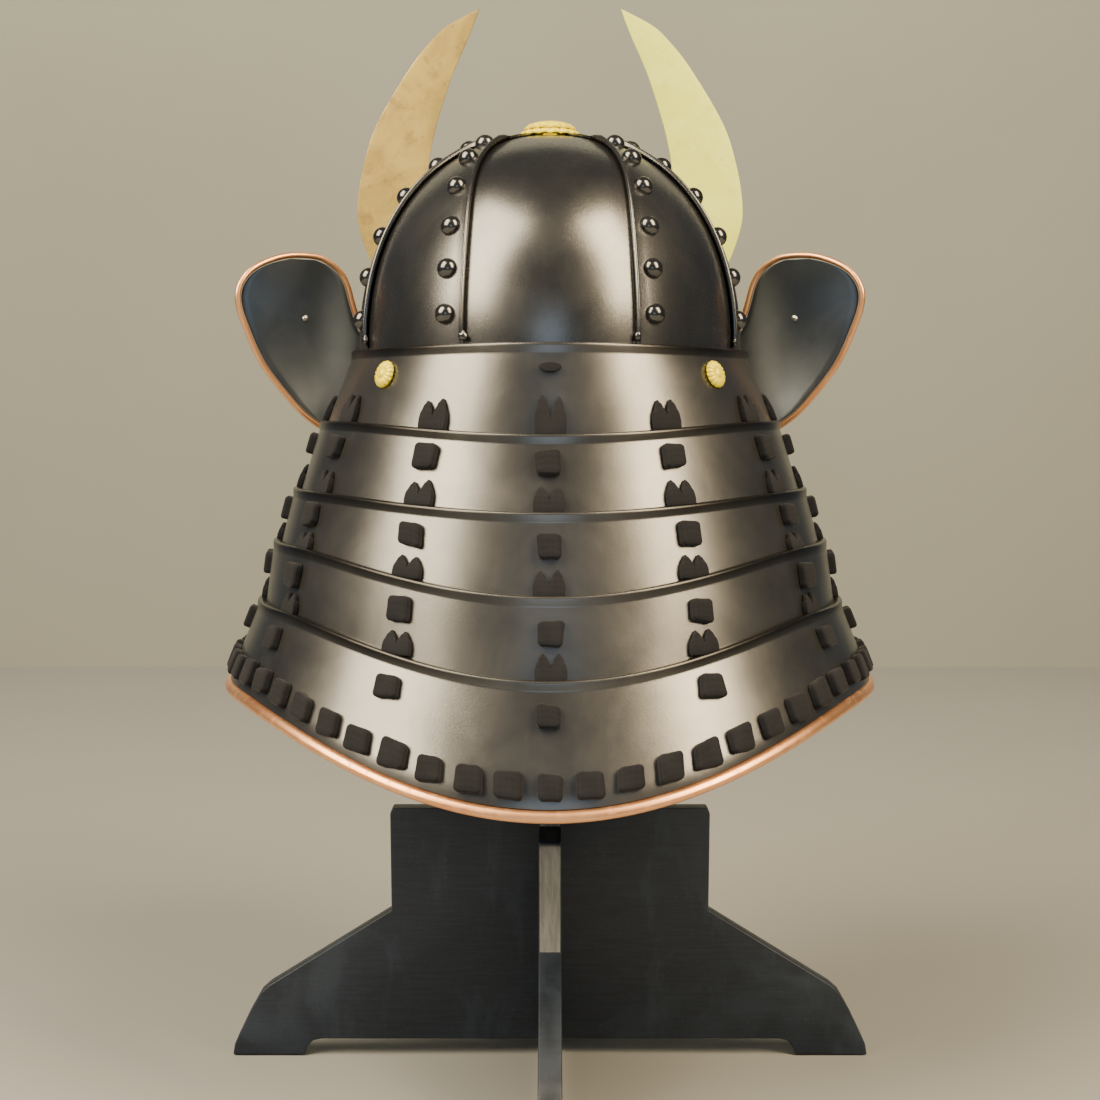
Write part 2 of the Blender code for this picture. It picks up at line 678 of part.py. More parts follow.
PLATES = (
    ("bowl_plate_rear", 0, False, False),
    ("bowl_plate_rear_left", 45, True, False),
    ("bowl_plate_side_left", 90, True, False),
    ("bowl_plate_front_left", 135, True, False),
    ("bowl_plate_front", 180, True, True),
    ("bowl_plate_front_right", -135, False, True),
    ("bowl_plate_side_right", -90, False, True),
    ("bowl_plate_rear_right", -45, False, True),
)
for plate_name, plate_angle, low_over, high_over in PLATES:
    make_plate(plate_name, plate_angle, low_over, high_over, black_lacquer)

lames = [make_lame(index, lame_lacquer) for index in range(5)]
for ear_side in (1, -1):
    ear_points, ear_faces = two_sided(ear_grid(0.0), ear_grid(SHEET))
    ear_points = shift(ear_points, dy=HELMET_SHIFT_Y)
    if ear_side < 0:
        ear_points = mirror_points(ear_points)
    ear = add_object("ear_sheet", ear_points, ear_faces, collection=TOOLS)
    boolean(lames[0], ear, "UNION")

make_ear_rim("ear_rim_left", False, copper_edging)
make_ear_rim("ear_rim_right", True, copper_edging)
make_neck_rim(copper_edging)
make_visor(black_lacquer)
make_visor_rim(copper_edging)
make_boss(gold_fitting)
make_holder(holder_brass)
make_horn("horn_left", False, horn_brass)
make_horn("horn_right", True, horn_brass)
make_gold_rivet("gold_rivet_left", 1, gold_fitting)
make_gold_rivet("gold_rivet_right", -1, gold_fitting)
make_ear_pin("ear_pin_left", 1, bright_steel)
make_ear_pin("ear_pin_right", -1, bright_steel)

bpy.context.view_layer.update()
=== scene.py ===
"""Looks of the kabuto helmet and its board stand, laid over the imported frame.

Metres, +Z up. The neck guard faces +Y, where the camera stands, and the horns face -Y.
Angles round the helmet are measured from the rear, growing toward the wearer's left at +X.
"""
import math
import random

import bmesh
import bpy
from mathutils import Matrix, Vector


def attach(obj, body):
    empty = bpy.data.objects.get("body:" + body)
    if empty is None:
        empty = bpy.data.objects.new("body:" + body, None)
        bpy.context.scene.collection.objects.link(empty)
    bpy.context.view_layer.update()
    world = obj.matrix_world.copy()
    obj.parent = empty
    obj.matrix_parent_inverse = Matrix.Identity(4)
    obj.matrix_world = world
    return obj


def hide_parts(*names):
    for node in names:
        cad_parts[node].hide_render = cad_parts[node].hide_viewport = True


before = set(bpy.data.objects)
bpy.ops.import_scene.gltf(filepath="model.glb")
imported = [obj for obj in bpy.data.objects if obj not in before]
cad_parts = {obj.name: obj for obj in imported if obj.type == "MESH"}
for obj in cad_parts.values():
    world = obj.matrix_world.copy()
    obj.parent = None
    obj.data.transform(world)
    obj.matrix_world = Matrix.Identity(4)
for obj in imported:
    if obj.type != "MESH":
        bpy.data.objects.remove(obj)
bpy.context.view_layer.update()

# Sizes in metres. The main forms are the solids' own; relief, painted shoulder shade and lacing are
# only here.
SHIFT_Y = -0.006
SHEET = 0.0016
GAP = 0.0003
BOWL_HALF_WIDTH = 0.1045
BOWL_HALF_DEPTH = 0.1175
BOWL_RIM_Z = 0.3975
BOWL_HEIGHT = 0.1175
BOWL_POWER = 2.2
BOWL_SKIRT = 0.0175
PLATE_SHEET = SHEET * 0.85
LAP_LIFT = SHEET + GAP
LAP_WIDTH = 0.0145
LAP_MAX = math.radians(15)
RIB_HEIGHT = 0.0019
# run from the plate's edge and share of the rib's height
RIB_SECTION = (
    (0.0, 0.0), (0.00015, 0.42), (0.00045, 0.78), (0.0008, 0.96), (0.0012, 1.0), (0.0016, 0.90),
    (0.0019, 0.64), (0.0021, 0.30), (0.0024, 0.06), (0.0030, 0.0),
)
RIB_TOP_CLIMB = 71.0
HALF_PLATE = math.radians(22.5)
# node, degrees from the rear, and whether its low and its high edge lie on the neighbours
PLATES = (
    ("bowl_plate_rear", 0, False, False),
    ("bowl_plate_rear_left", 45, True, False),
    ("bowl_plate_side_left", 90, True, False),
    ("bowl_plate_front_left", 135, True, False),
    ("bowl_plate_front", 180, True, True),
    ("bowl_plate_front_right", -135, False, True),
    ("bowl_plate_side_right", -90, False, True),
    ("bowl_plate_rear_right", -45, False, True),
)
# rows up a plate, in degrees of climb; the first two are the skirt below the rim
PLATE_CLIMBS = (
    [-2.0, -1.0, 0.0, 1.2, 2.4, 3.8, 6.0] + [6.0 + 2.6 * k for k in range(1, 27)]
    + [76.0, 77.2, 78.4, 79.6, 81.0, 82.6, 84.5]
)
# degrees from the rear to the first and second seams; the first bows outward, a little at its
# foot and more by this power of its rise, and the bow dies away before the second
REAR_SEAM = 22.5
SIDE_SEAM = 67.5
SEAM_FADE = 30.5
SEAM_BOW_FOOT = 1.5
SEAM_BOW_CROWN = 17
SEAM_BOW_POWER = 3.5
RIVET_RADIUS = 0.0054
RIVET_SEAT = 0.0010
RIVET_FLATNESS = 0.94
RIVET_STEP = 0.0115
RIVET_HEIGHTS = (0.4135, 0.4362, 0.4580, 0.4795, 0.4965, 0.5065)
SOLDER_INSET = 0.006

LAME_STEP = 0.0050
SHOULDER_DROP = 0.0050
LAME_TUCK = 0.0075
# half width, rear depth, rear height, side height, degrees where the edge turns level
LAME_EDGES = (
    (0.1100, 0.1228, 0.3990, 0.3975, 62),
    (0.1279, 0.1345, 0.3538, 0.3595, 62),
    (0.1427, 0.1495, 0.3162, 0.3229, 62),
    (0.1538, 0.1630, 0.2766, 0.2945, 62),
    (0.1625, 0.1760, 0.2377, 0.2620, 62),
    (0.1800, 0.1975, 0.1740, 0.2135, 68),
)
# degrees from the rear at which each lame ends
LAME_ENDS = (128, 112, 112, 112, 112)
FIRST_LIP = 0.0030
# share of the lip's width still to go and drop below the edge, from the lip to the collar
SHOULDER_ROWS = (
    (1.0, 0.0005), (0.85, 0.0001), (0.30, 0.0000), (0.10, 0.0003), (0.02, 0.0009), (0.0, 0.0016),
    (0.0, SHOULDER_DROP - 0.0005), (0.0, SHOULDER_DROP),
)
FACE_SHARES = (0.014, 0.12, 0.25, 0.4, 0.55, 0.7, 0.85, 1.0)
# Painted shade and dark reflection on each lame's shoulder, under the edge of the lame above: how
# fast it fades, its darkest share, and the degrees from the rear where it begins and how far it runs
# to full.
SHADE_FADE = 0.0012
SHADE_MOST = 0.82
SHADE_FROM = 6.0
SHADE_RUN = 22.0
RIM_BAND_TALL = 0.0058
RIM_GAP = 0.00045
RIM_LEAN = 0.30
RIM_SINK = 0.0012
# outset and rise of the copper edging's section, from its inner foot round to its inner top
RIM_SECTION = (
    (-0.0034, 0.0012), (-0.0026, 0.0003), (-0.0014, 0.0000), (-0.0002, 0.0007), (0.0005, 0.0018),
    (0.0006, 0.0032), (0.0003, 0.0045), (-0.0005, 0.0054), (-0.0016, 0.0058), (-0.0030, 0.0056),
)

EAR_SLOPE = 0.62
EAR_PLANE_X = 0.1214
EAR_PLANE_Y = -0.0608
EAR_CUP = 1.6
EAR_HOLLOW = 1.5
# height, inner and outer distance from the middle plane
EAR_ROWS = (
    (0.3545, 0.0955, 0.1290), (0.3640, 0.0950, 0.1412), (0.3761, 0.0945, 0.1515),
    (0.3892, 0.0950, 0.1609), (0.4000, 0.1020, 0.1664), (0.4114, 0.1130, 0.1707),
    (0.4220, 0.1168, 0.1741), (0.4303, 0.1190, 0.1750), (0.4375, 0.1208, 0.1729),
    (0.4442, 0.1240, 0.1676), (0.4492, 0.1295, 0.1590), (0.4522, 0.1365, 0.1490),
)
# the copper bead comes down the ear's inner side to this row
EAR_FREE_ROW = 5
EAR_RIM_RADIUS = 0.0017
EAR_PIN = (0.1424, 0.4182)
# where the ear's beaten face lies level, and how fast it turns away from there
DISH_X = 0.098
DISH_Z = 0.435
DISH_TURN_ACROSS = 4.4
DISH_TURN_UP = 2.8

VISOR_HALF_ANGLE = math.radians(51)
VISOR_REACH = 0.0600
VISOR_DROP = 0.0200
VISOR_Z = 0.3930
VISOR_SPREAD = 0.22
VISOR_ARCH = 0.005
VISOR_DIP = 0.0060
VISOR_CORNER = 0.0045
VISOR_PUSH = 0.0020
VISOR_RIM_RADIUS = 0.0019

HORN_REAR_Y = -0.1350
HORN_THICK = 0.0020
HORN_SOFT_EDGE = 0.0004
# across and up, from the foot's outer corner over the tip to the inner corner
HORN_OUTLINE = (
    (0.0860, 0.4310), (0.0955, 0.4375), (0.1040, 0.4455), (0.1105, 0.4550),
    (0.1152, 0.4660), (0.1188, 0.4780), (0.1199, 0.4880), (0.1181, 0.5057),
    (0.1117, 0.5313), (0.1024, 0.5511), (0.0854, 0.5779), (0.0735, 0.5925),
    (0.0630, 0.6020), (0.0437, 0.6120), (0.0496, 0.5966), (0.0562, 0.5820),
    (0.0620, 0.5678), (0.0706, 0.5406), (0.0752, 0.5194), (0.0775, 0.4970),
    (0.0778, 0.4760), (0.0765, 0.4580), (0.0735, 0.4440),
)
HORN_TIP = 13

BOARD_HALF = 0.0058
BOARD_WEAR = 0.0006

GOLD_RIVET_ANGLE = 48.0
GOLD_RIVET_DROP = 0.0142
PETAL_DIP = 0.0005

# degrees from the rear where the lames are laced, and one more beside each ear on lame 1
COLUMNS = (-88, -58, -28, 0, 28, 58, 88)
EAR_COLUMN = 121
PAD = 0.0126
PAD_THICK = 0.0040
PAD_PINCH = 0.045
PAD_SEAT = 0.0017
KNOT_DROPS = (0.0, 0.0140, 0.0165, 0.0170, 0.0165)
CORD_WIDTH = 0.0082
CORD_TALL = 0.0150
CORD_THICK = 0.0036
# share of a cord's length and of its width
CORD_OUTLINE = (
    (0.28, 1.03), (0.44, 0.97), (0.57, 0.84), (0.70, 0.66), (0.82, 0.46), (0.92, 0.28),
    (1.0, 0.12),
)
CORD_SPREAD = 0.0036
CORD_SEAT = 0.0015
CORD_TUCK = 0.0012
OVAL_SIZE = (0.0086, 0.0037, 0.0012)
OVAL_DROP = 0.0125
OVAL_SEAT = 0.0009
HEM_KNOTS = 17
HEM_STEP = 6.3
HEM_RISE = 0.0160
HEM_SHEAR = 0.0020
HEM_LIFT = 0.0014

FOCAL_PIXELS = 1900
PHOTO_PIXELS = 1100
CAMERA_DIP = 4.334

dice = random.Random(7)


class Wire:
    """A shader value that can stand in a sum or a product."""

    def __init__(self, finish, socket):
        self.finish = finish
        self.socket = socket

    def _math(self, operation, *values):
        return self.finish.node("ShaderNodeMath", {"operation": operation}, dict(enumerate(values)))

    def __add__(self, other):
        return self._math("ADD", self, other)

    def __sub__(self, other):
        return self._math("SUBTRACT", self, other)

    def __rsub__(self, other):
        return self._math("SUBTRACT", other, self)

    def __mul__(self, other):
        return self._math("MULTIPLY", self, other)

    __radd__ = __add__
    __rmul__ = __mul__

    def wave(self):
        return self._math("SINE", self)

    def size(self):
        return self._math("ABSOLUTE", self)

    def between(self, low, high):
        """0 at low, 1 at high, eased between them."""
        values = {"Value": self, "From Min": low, "From Max": high}
        return self.finish.node(
            "ShaderNodeMapRange", {"interpolation_type": "SMOOTHSTEP"}, values)


class Finish:
    """One material and the nodes behind its shader."""

    def __init__(self, name):
        self.material = bpy.data.materials.new(name)
        self.material.use_nodes = True
        self.tree = self.material.node_tree
        self.shader = self.tree.nodes["Principled BSDF"]

    def node(self, kind, settings=None, values=None, output=0):
        made = self.tree.nodes.new(kind)
        for key, value in (settings or {}).items():
            setattr(made, key, value)
        for key, value in (values or {}).items():
            self.put(made.inputs[key], value)
        return Wire(self, made.outputs[output])

    def put(self, socket, value):
        if isinstance(value, Wire):
            self.tree.links.new(value.socket, socket)
        elif isinstance(value, tuple) and len(value) == 3 and socket.type == "RGBA":
            socket.default_value = (*value, 1.0)
        else:
            socket.default_value = value

    def place(self):
        return self.node("ShaderNodeTexCoord", output=3)

    def parts(self, vector):
        split = self.node("ShaderNodeSeparateXYZ", values={0: vector})
        outputs = split.socket.node.outputs
        return [Wire(self, socket) for socket in outputs]

    def stretched(self, vector, scale, turn=(0, 0, 0), shift=(0, 0, 0)):
        return self.node("ShaderNodeMapping", values={
            "Vector": vector, "Scale": scale, "Rotation": turn, "Location": shift})

    def noise(self, vector, scale, detail=3.0, rough=0.5, warp=0.0):
        return self.node("ShaderNodeTexNoise", values={
            "Vector": vector, "Scale": scale, "Detail": detail, "Roughness": rough,
            "Distortion": warp})

    def mix(self, amount, first, second):
        return self.node("ShaderNodeMix", {"data_type": "RGBA"},
                         {0: amount, 6: first, 7: second}, output=2)

    def bump(self, height, depth, strength=1.0):
        return self.node("ShaderNodeBump", values={
            "Height": height, "Distance": depth, "Strength": strength})

    def set(self, **values):
        for key, value in values.items():
            self.put(self.shader.inputs[key.replace("_", " ")], value)
        return self.material


def lacquer(name, dark, light, roughness, sheen, dished=False, shade_shoulders=False):
    """Satin lacquer on iron: faint clouds, fine specks and a soft orange-peel skin.

    A dished sheet is beaten: its face turns up toward the foot and outward at its far side.
    A sheet with shaded shoulders gets painted shade: its colour darkens where it lies under the edge
    of the sheet above, standing in for shade and dark reflection.
    """
    finish = Finish(name)
    place = finish.place()
    clouds = finish.noise(place, 22, 4.0, 0.6, 0.4)
    fine = finish.noise(place, 900, 2.0)
    specks = finish.noise(place, 1500, 1.0).between(0.70, 0.76)
    rubbed = finish.noise(finish.stretched(place, (60, 60, 9)), 3.0, 5.0, 0.6).between(0.52, 0.78)
    color = finish.mix(clouds.between(0.35, 0.7), dark, light)
    color = finish.mix(specks * 0.12, color, (0.16, 0.14, 0.12))
    rough = roughness + (clouds - 0.5) * 0.10 + rubbed * 0.02 + specks * 0.03
    if shade_shoulders:
        # Painted shade: the colour is darkened by the shoulder-shade attribute, under the edge of
        # the sheet above.
        shoulder_shade = finish.node("ShaderNodeAttribute", {"attribute_name": "shoulder_shade"}, output=2)
        color = finish.mix(shoulder_shade, color, (0.022, 0.020, 0.018))
    peel = finish.bump(fine + clouds * 3.0, 0.00005, 0.5)
    if dished:
        x, _, z = finish.parts(place)
        below = z - DISH_Z
        aside = x.size() - DISH_X
        height = below * below * DISH_TURN_UP - aside * aside * DISH_TURN_ACROSS
        hollow = finish.bump(height, 1.0)
        finish.put(peel.socket.node.inputs["Normal"], hollow)
    return finish.set(Base_Color=color, Roughness=rough, Metallic=sheen, Normal=peel)


def cord_cloth():
    """Flat silk braid, its plaits running down the cord."""
    finish = Finish("lacing_cord")
    flat = finish.node("ShaderNodeUVMap", {"uv_map": "braid"})
    across, along, _ = finish.parts(flat)
    lean = (across.size() * 5.0 + along * 26.0).wave()
    ply = (across * 30.0).wave()
    plait = lean * 0.6 + ply * 0.4
    fuzz = finish.noise(finish.place(), 2600, 2.0)
    cloud = finish.noise(finish.place(), 60, 3.0)
    color = finish.mix(plait.between(-0.9, 0.9), (0.0088, 0.0094, 0.0124), (0.0112, 0.0118, 0.0154))
    color = finish.mix(cloud.between(0.4, 0.75) * 0.5, color, (0.0180, 0.0186, 0.0240))
    normal = finish.bump(plait * 0.4 + fuzz * 0.6, 0.00007, 0.5)
    return finish.set(Base_Color=color, Roughness=0.82 + fuzz * 0.12, Normal=normal,
                      Sheen_Weight=0.06, Sheen_Roughness=0.5, Specular_IOR_Level=0.2)


def copper():
    finish = Finish("worn_copper")
    place = finish.place()
    cloud = finish.noise(place, 34, 4.0, 0.6)
    dirt = finish.noise(place, 160, 4.0, 0.65).between(0.50, 0.78)
    scratch = finish.noise(finish.stretched(place, (40, 40, 900)), 3.0, 2.0)
    color = finish.mix(cloud.between(0.3, 0.7), (0.87, 0.41, 0.19), (0.99, 0.55, 0.29))
    color = finish.mix(dirt * 0.35, color, (0.42, 0.20, 0.13))
    rough = 0.27 + cloud * 0.10 + dirt * 0.18 + scratch * 0.05
    normal = finish.bump(scratch + dirt, 0.00004, 0.5)
    return finish.set(Base_Color=color, Roughness=rough, Metallic=0.9 - dirt * 0.2, Normal=normal)


def horn_brass(name, pale, deep, stain, stained, metal):
    """Brass sheet with cloudy tarnish, pale spots and rolling marks."""
    finish = Finish(name)
    place = finish.place()
    cloud = finish.noise(place, 26, 5.0, 0.62, 0.8)
    blots = finish.noise(finish.stretched(place, (1, 1, 1), shift=(3, 1, 2)), 75, 4.0, 0.6)
    spots = finish.node("ShaderNodeTexVoronoi", values={"Vector": place, "Scale": 120.0})
    rolled = finish.noise(finish.stretched(place, (500, 500, 25), (0, 0.35, 0)), 2.0, 3.0)
    edge = cloud.between(0.36, 0.66)
    color = finish.mix(edge, pale, deep)
    color = finish.mix(blots.between(0.52, 0.72) * stained, color, stain)
    color = finish.mix(spots.between(0.22, 0.05) * 0.35, color, stain)
    rough = 0.30 + edge * 0.12 + blots.between(0.5, 0.75) * 0.18 + rolled * 0.06
    normal = finish.bump(rolled + blots * 0.6, 0.00005, 0.6)
    return finish.set(Base_Color=color, Roughness=rough, Metallic=metal, Normal=normal)


def gilt():
    finish = Finish("gilt_fitting")
    place = finish.place()
    cloud = finish.noise(place, 160, 4.0, 0.6)
    pits = finish.noise(place, 900, 3.0)
    color = finish.mix(cloud.between(0.3, 0.7), (0.98, 0.88, 0.02), (0.98, 0.78, 0.012))
    color = finish.mix(pits.between(0.60, 0.75) * 0.4, color, (0.62, 0.42, 0.06))
    return finish.set(Base_Color=color, Roughness=0.30 + cloud * 0.16, Metallic=0.25,
                      Normal=finish.bump(pits + cloud, 0.00005, 0.6))


def pin_steel():
    finish = Finish("pin_steel")
    place = finish.place()
    grain = finish.noise(place, 1200, 3.0)
    color = finish.mix(grain, (0.62, 0.60, 0.56), (0.86, 0.83, 0.78))
    return finish.set(Base_Color=color, Roughness=0.22 + grain * 0.2, Metallic=1.0,
                      Normal=finish.bump(grain, 0.00004, 0.5))


def board_paint():
    """Matt blue-black brushed paint with dusty smudges, worn on the boards' edges."""
    finish = Finish("stand_paint")
    place = finish.place()
    x, y, _ = finish.parts(place)
    brush = finish.noise(finish.stretched(place, (14, 14, 260)), 3.0, 4.0, 0.6)
    smudge = finish.noise(place, 13, 5.0, 0.62, 1.2).between(0.46, 0.74)
    wipe = finish.noise(finish.stretched(place, (30, 30, 8), (0, 0.5, 0)), 2.6, 4.0, 0.6)
    dust = finish.noise(place, 700, 2.0).between(0.62, 0.72)
    color = finish.mix(brush.between(0.3, 0.7), (0.0040, 0.0082, 0.0165), (0.0072, 0.0138, 0.0270))
    color = finish.mix(smudge * 0.55, color, (0.021, 0.034, 0.054))
    color = finish.mix(wipe.between(0.52, 0.75) * 0.45, color, (0.023, 0.036, 0.056))
    color = finish.mix(dust * 0.18, color, (0.07, 0.07, 0.07))
    side = finish.parts(finish.node("ShaderNodeNewGeometry", output=1))
    within = BOARD_HALF + BOARD_WEAR, BOARD_HALF
    fore_edge = side[1].size().between(0.85, 0.95) * x.size().between(*within)
    cross_edge = side[0].size().between(0.85, 0.95) * y.size().between(*within)
    cut = finish.noise(finish.stretched(place, (150, 150, 18)), 3.0, 4.0, 0.7).between(0.30, 0.72)
    color = finish.mix((fore_edge + cross_edge) * (0.55 + cut * 0.45), color, (0.22, 0.225, 0.22))
    rough = 0.50 + smudge * 0.14 - brush * 0.08
    normal = finish.bump(brush + wipe * 0.5, 0.00010, 0.6)
    return finish.set(Base_Color=color, Roughness=rough, Normal=normal)


def plain_ground(name, color, variation):
    finish = Finish(name)
    cloud = finish.noise(finish.place(), 1.3, 4.0, 0.6)
    shade = tuple(c * variation for c in color)
    return finish.set(Base_Color=finish.mix(cloud.between(0.3, 0.7), color, shade), Roughness=0.85)


def leave():
    bpy.ops.object.mode_set(mode="OBJECT")


def let_go():
    """Back to object mode with nothing selected."""
    current = bpy.context.view_layer.objects.active
    if current and current.mode != "OBJECT":
        leave()
    bpy.ops.object.select_all(action="DESELECT")


def all_of_it():
    bpy.ops.mesh.select_all(action="SELECT")


def cut(spot, direction, **settings):
    """A straight cut through the whole open mesh."""
    all_of_it()
    bpy.ops.mesh.bisect(plane_co=spot, plane_no=direction, **settings)


def in_scene(name, data):
    piece = bpy.data.objects.new(name, data)
    bpy.context.scene.collection.objects.link(piece)
    return piece


def take(*pieces):
    let_go()
    for piece in pieces:
        piece.select_set(True)
    bpy.context.view_layer.objects.active = pieces[0]


def begin(kind, name, **settings):
    """Adds a primitive and opens it for editing."""
    let_go()
    getattr(bpy.ops.mesh, "primitive_%s_add" % kind)(**settings)
    piece = bpy.context.object
    piece.name = name
    bpy.ops.object.mode_set(mode="EDIT")
    return piece


def grid(name, across, up):
    """A flat grid from -1 to 1 each way."""
    piece = begin("grid", name, x_subdivisions=across, y_subdivisions=up, size=2)
    leave()
    return piece


def open_up(piece):
    """Opens a piece for editing with all of it selected."""
    take(piece)
    bpy.ops.object.mode_set(mode="EDIT")
    all_of_it()


def choose(piece, mode, test):
    bpy.ops.mesh.select_mode(type=mode)
    bpy.ops.mesh.select_all(action="DESELECT")
    work = bmesh.from_edit_mesh(piece.data)
    for item in {"VERT": work.verts, "EDGE": work.edges, "FACE": work.faces}[mode]:
        if test(item):
            item.select_set(True)
    bmesh.update_edit_mesh(piece.data)


def finish_with(piece, kind, **settings):
    """One modifier, applied."""
    take(piece)
    modifier = piece.modifiers.new(kind.lower(), kind)
    for key, value in settings.items():
        setattr(modifier, key, value)
    bpy.ops.object.modifier_apply(modifier=modifier.name)


def ease(piece, width, segments, degrees):
    """Rounds every edge sharper than the given turn."""
    finish_with(piece, "BEVEL", width=width, segments=segments, limit_method="ANGLE",
                angle_limit=math.radians(degrees))


def thicken(piece, face, outward, thickness=SHEET, even=True):
    """Turns a sheet so that one face of it looks outward, and thickens its inner side."""
    if face.normal.dot(outward) < 0:
        piece.data.flip_normals()
    finish_with(piece, "SOLIDIFY", thickness=thickness, offset=-1.0, use_even_offset=even)


def tidy_mesh(piece):
    """Merges doubles and turns the faces outward."""
    open_up(piece)
    bpy.ops.mesh.remove_doubles(threshold=0.00001)
    bpy.ops.mesh.normals_make_consistent(inside=False)
    leave()


def settle(piece):
    take(piece)
    bpy.ops.object.transform_apply(location=True, rotation=True, scale=True)


def smooth(piece, degrees):
    take(piece)
    bpy.ops.object.shade_smooth_by_angle(angle=math.radians(degrees))


def dress(piece, material, slot, *nodes):
    piece.data.materials.clear()
    piece.data.materials.append(material)
    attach(piece, "root")
    if nodes:
        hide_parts(*nodes)


def copy_at(source, place):
    """A copy of a piece with its own mesh, moved by a matrix."""
    twin = source.copy()
    twin.data = source.data.copy()
    bpy.context.scene.collection.objects.link(twin)
    twin.data.transform(place)
    return twin


def joined(name, parts, *sources):
    """Parts made one piece; the pieces they were copied from are thrown away."""
    take(*parts)
    bpy.ops.object.join()
    whole = bpy.context.object
    whole.name = name
    for source in sources:
        bpy.data.objects.remove(source, do_unlink=True)
    return whole


def seat_matrix(spot, normal, turn=0.0, scale=(1, 1, 1)):
    """Places a piece modelled on the XY plane against a surface, its +Y side up."""
    side = Vector((0, 0, 1)).cross(normal).normalized()
    rise = normal.cross(side)
    base = Matrix((side, rise, normal)).transposed().to_4x4()
    return (Matrix.Translation(spot) @ base @ Matrix.Rotation(turn, 4, "Z")
            @ Matrix.Diagonal((*scale, 1)))


def curve_through(points, count):
    """Points of an even smooth curve through the given ones."""
    points = [Vector(p) for p in points]
    last = len(points) - 1
    out = []
    for i in range(last):
        a, b = points[max(i - 1, 0)], points[i]
        c, d = points[i + 1], points[min(i + 2, last)]
        for k in range(count):
            t = k / count
            out.append(0.5 * (2 * b + (c - a) * t + (2 * a - 5 * b + 4 * c - d) * t ** 2
                              + (3 * b - a - 3 * c + d) * t ** 3))
    return out + [points[-1]]


def drawn(name, path, closed, **settings):
    """A curve along a path with its bevel, made into a mesh."""
    let_go()
    data = bpy.data.curves.new(name, "CURVE")
    for key, value in settings.items():
        setattr(data, key, value)
    line = data.splines.new("POLY")
    line.points.add(len(path) - 1)
    line.use_cyclic_u = closed
    for spot, point in zip(line.points, path):
        spot.co = (*point, 1)
    take(in_scene(name, data))
    bpy.ops.object.convert(target="MESH")
    return bpy.context.object


def make_bead(name, path, radius):
    """A round edging bead on a smooth path, with closed ends."""
    bead = drawn(name, path, False, dimensions="3D", bevel_depth=radius, bevel_resolution=5,
                 use_fill_caps=True)
    tidy_mesh(bead)
    smooth(bead, 60)
    return bead


def bowl_point(angle, climb, offset):
    """A point off the bowl's outer surface; climb is 0 at the rim and 90 at the top.

    The two seams beside the rear plate bow outward on their way up.
    """
    climb = math.radians(climb)
    across = math.cos(climb) ** (2 / BOWL_POWER)
    rise = math.sin(climb) ** (2 / BOWL_POWER)
    turn = math.degrees(abs(angle))
    weight = min(turn / REAR_SEAM, 1.0, max((SIDE_SEAM - turn) / SEAM_FADE, 0.0))
    bow = math.radians(SEAM_BOW_FOOT + SEAM_BOW_CROWN * rise ** SEAM_BOW_POWER)
    angle += math.copysign(bow * weight, angle)
    x = BOWL_HALF_WIDTH * across * math.sin(angle)
    y = BOWL_HALF_DEPTH * across * math.cos(angle)
    flat = across ** (BOWL_POWER - 2)
    normal = Vector((
        flat * x / BOWL_HALF_WIDTH ** 2,
        flat * y / BOWL_HALF_DEPTH ** 2,
        rise ** (BOWL_POWER - 1) / BOWL_HEIGHT,
    )).normalized()
    spot = Vector((x, y + SHIFT_Y, BOWL_RIM_Z + BOWL_HEIGHT * rise))
    return spot + offset * normal, normal


def climb_at(z):
    rise = min(max((z - BOWL_RIM_Z) / BOWL_HEIGHT, 0.0), 1.0)
    return math.degrees(math.asin(rise ** (BOWL_POWER / 2)))


def arc_angle(length, climb):
    radius = 0.5 * (BOWL_HALF_WIDTH + BOWL_HALF_DEPTH)
    return length / (radius * math.cos(math.radians(climb)) ** (2 / BOWL_POWER))


def plate_lift(local, over_low, over_high):
    """How far the plate stands off the bowl's surface, shingled from edge to edge."""
    low = LAP_LIFT if over_low else 0.0
    high = LAP_LIFT if over_high else 0.0
    share = (local + HALF_PLATE) / (2 * HALF_PLATE)
    lift = low + (high - low) * min(max(share, 0.0), 1.0)
    beyond = max(-local, local) - HALF_PLATE
    return lift - max(beyond, 0.0) / (2 * HALF_PLATE) * LAP_LIFT


def rib_share(climb):
    """The edge rib swells just above the rim and dies away in a hump near the top."""
    foot = min(max((climb - 0.6) / 2.2, 0.0), 1.0)
    top = min(max((RIB_TOP_CLIMB + 2.0 - climb) / 2.5, 0.0), 1.0)
    hump = 1.0 + 0.35 * math.exp(-((climb - RIB_TOP_CLIMB + 3.0) / 3.5) ** 2)
    return foot * top * hump


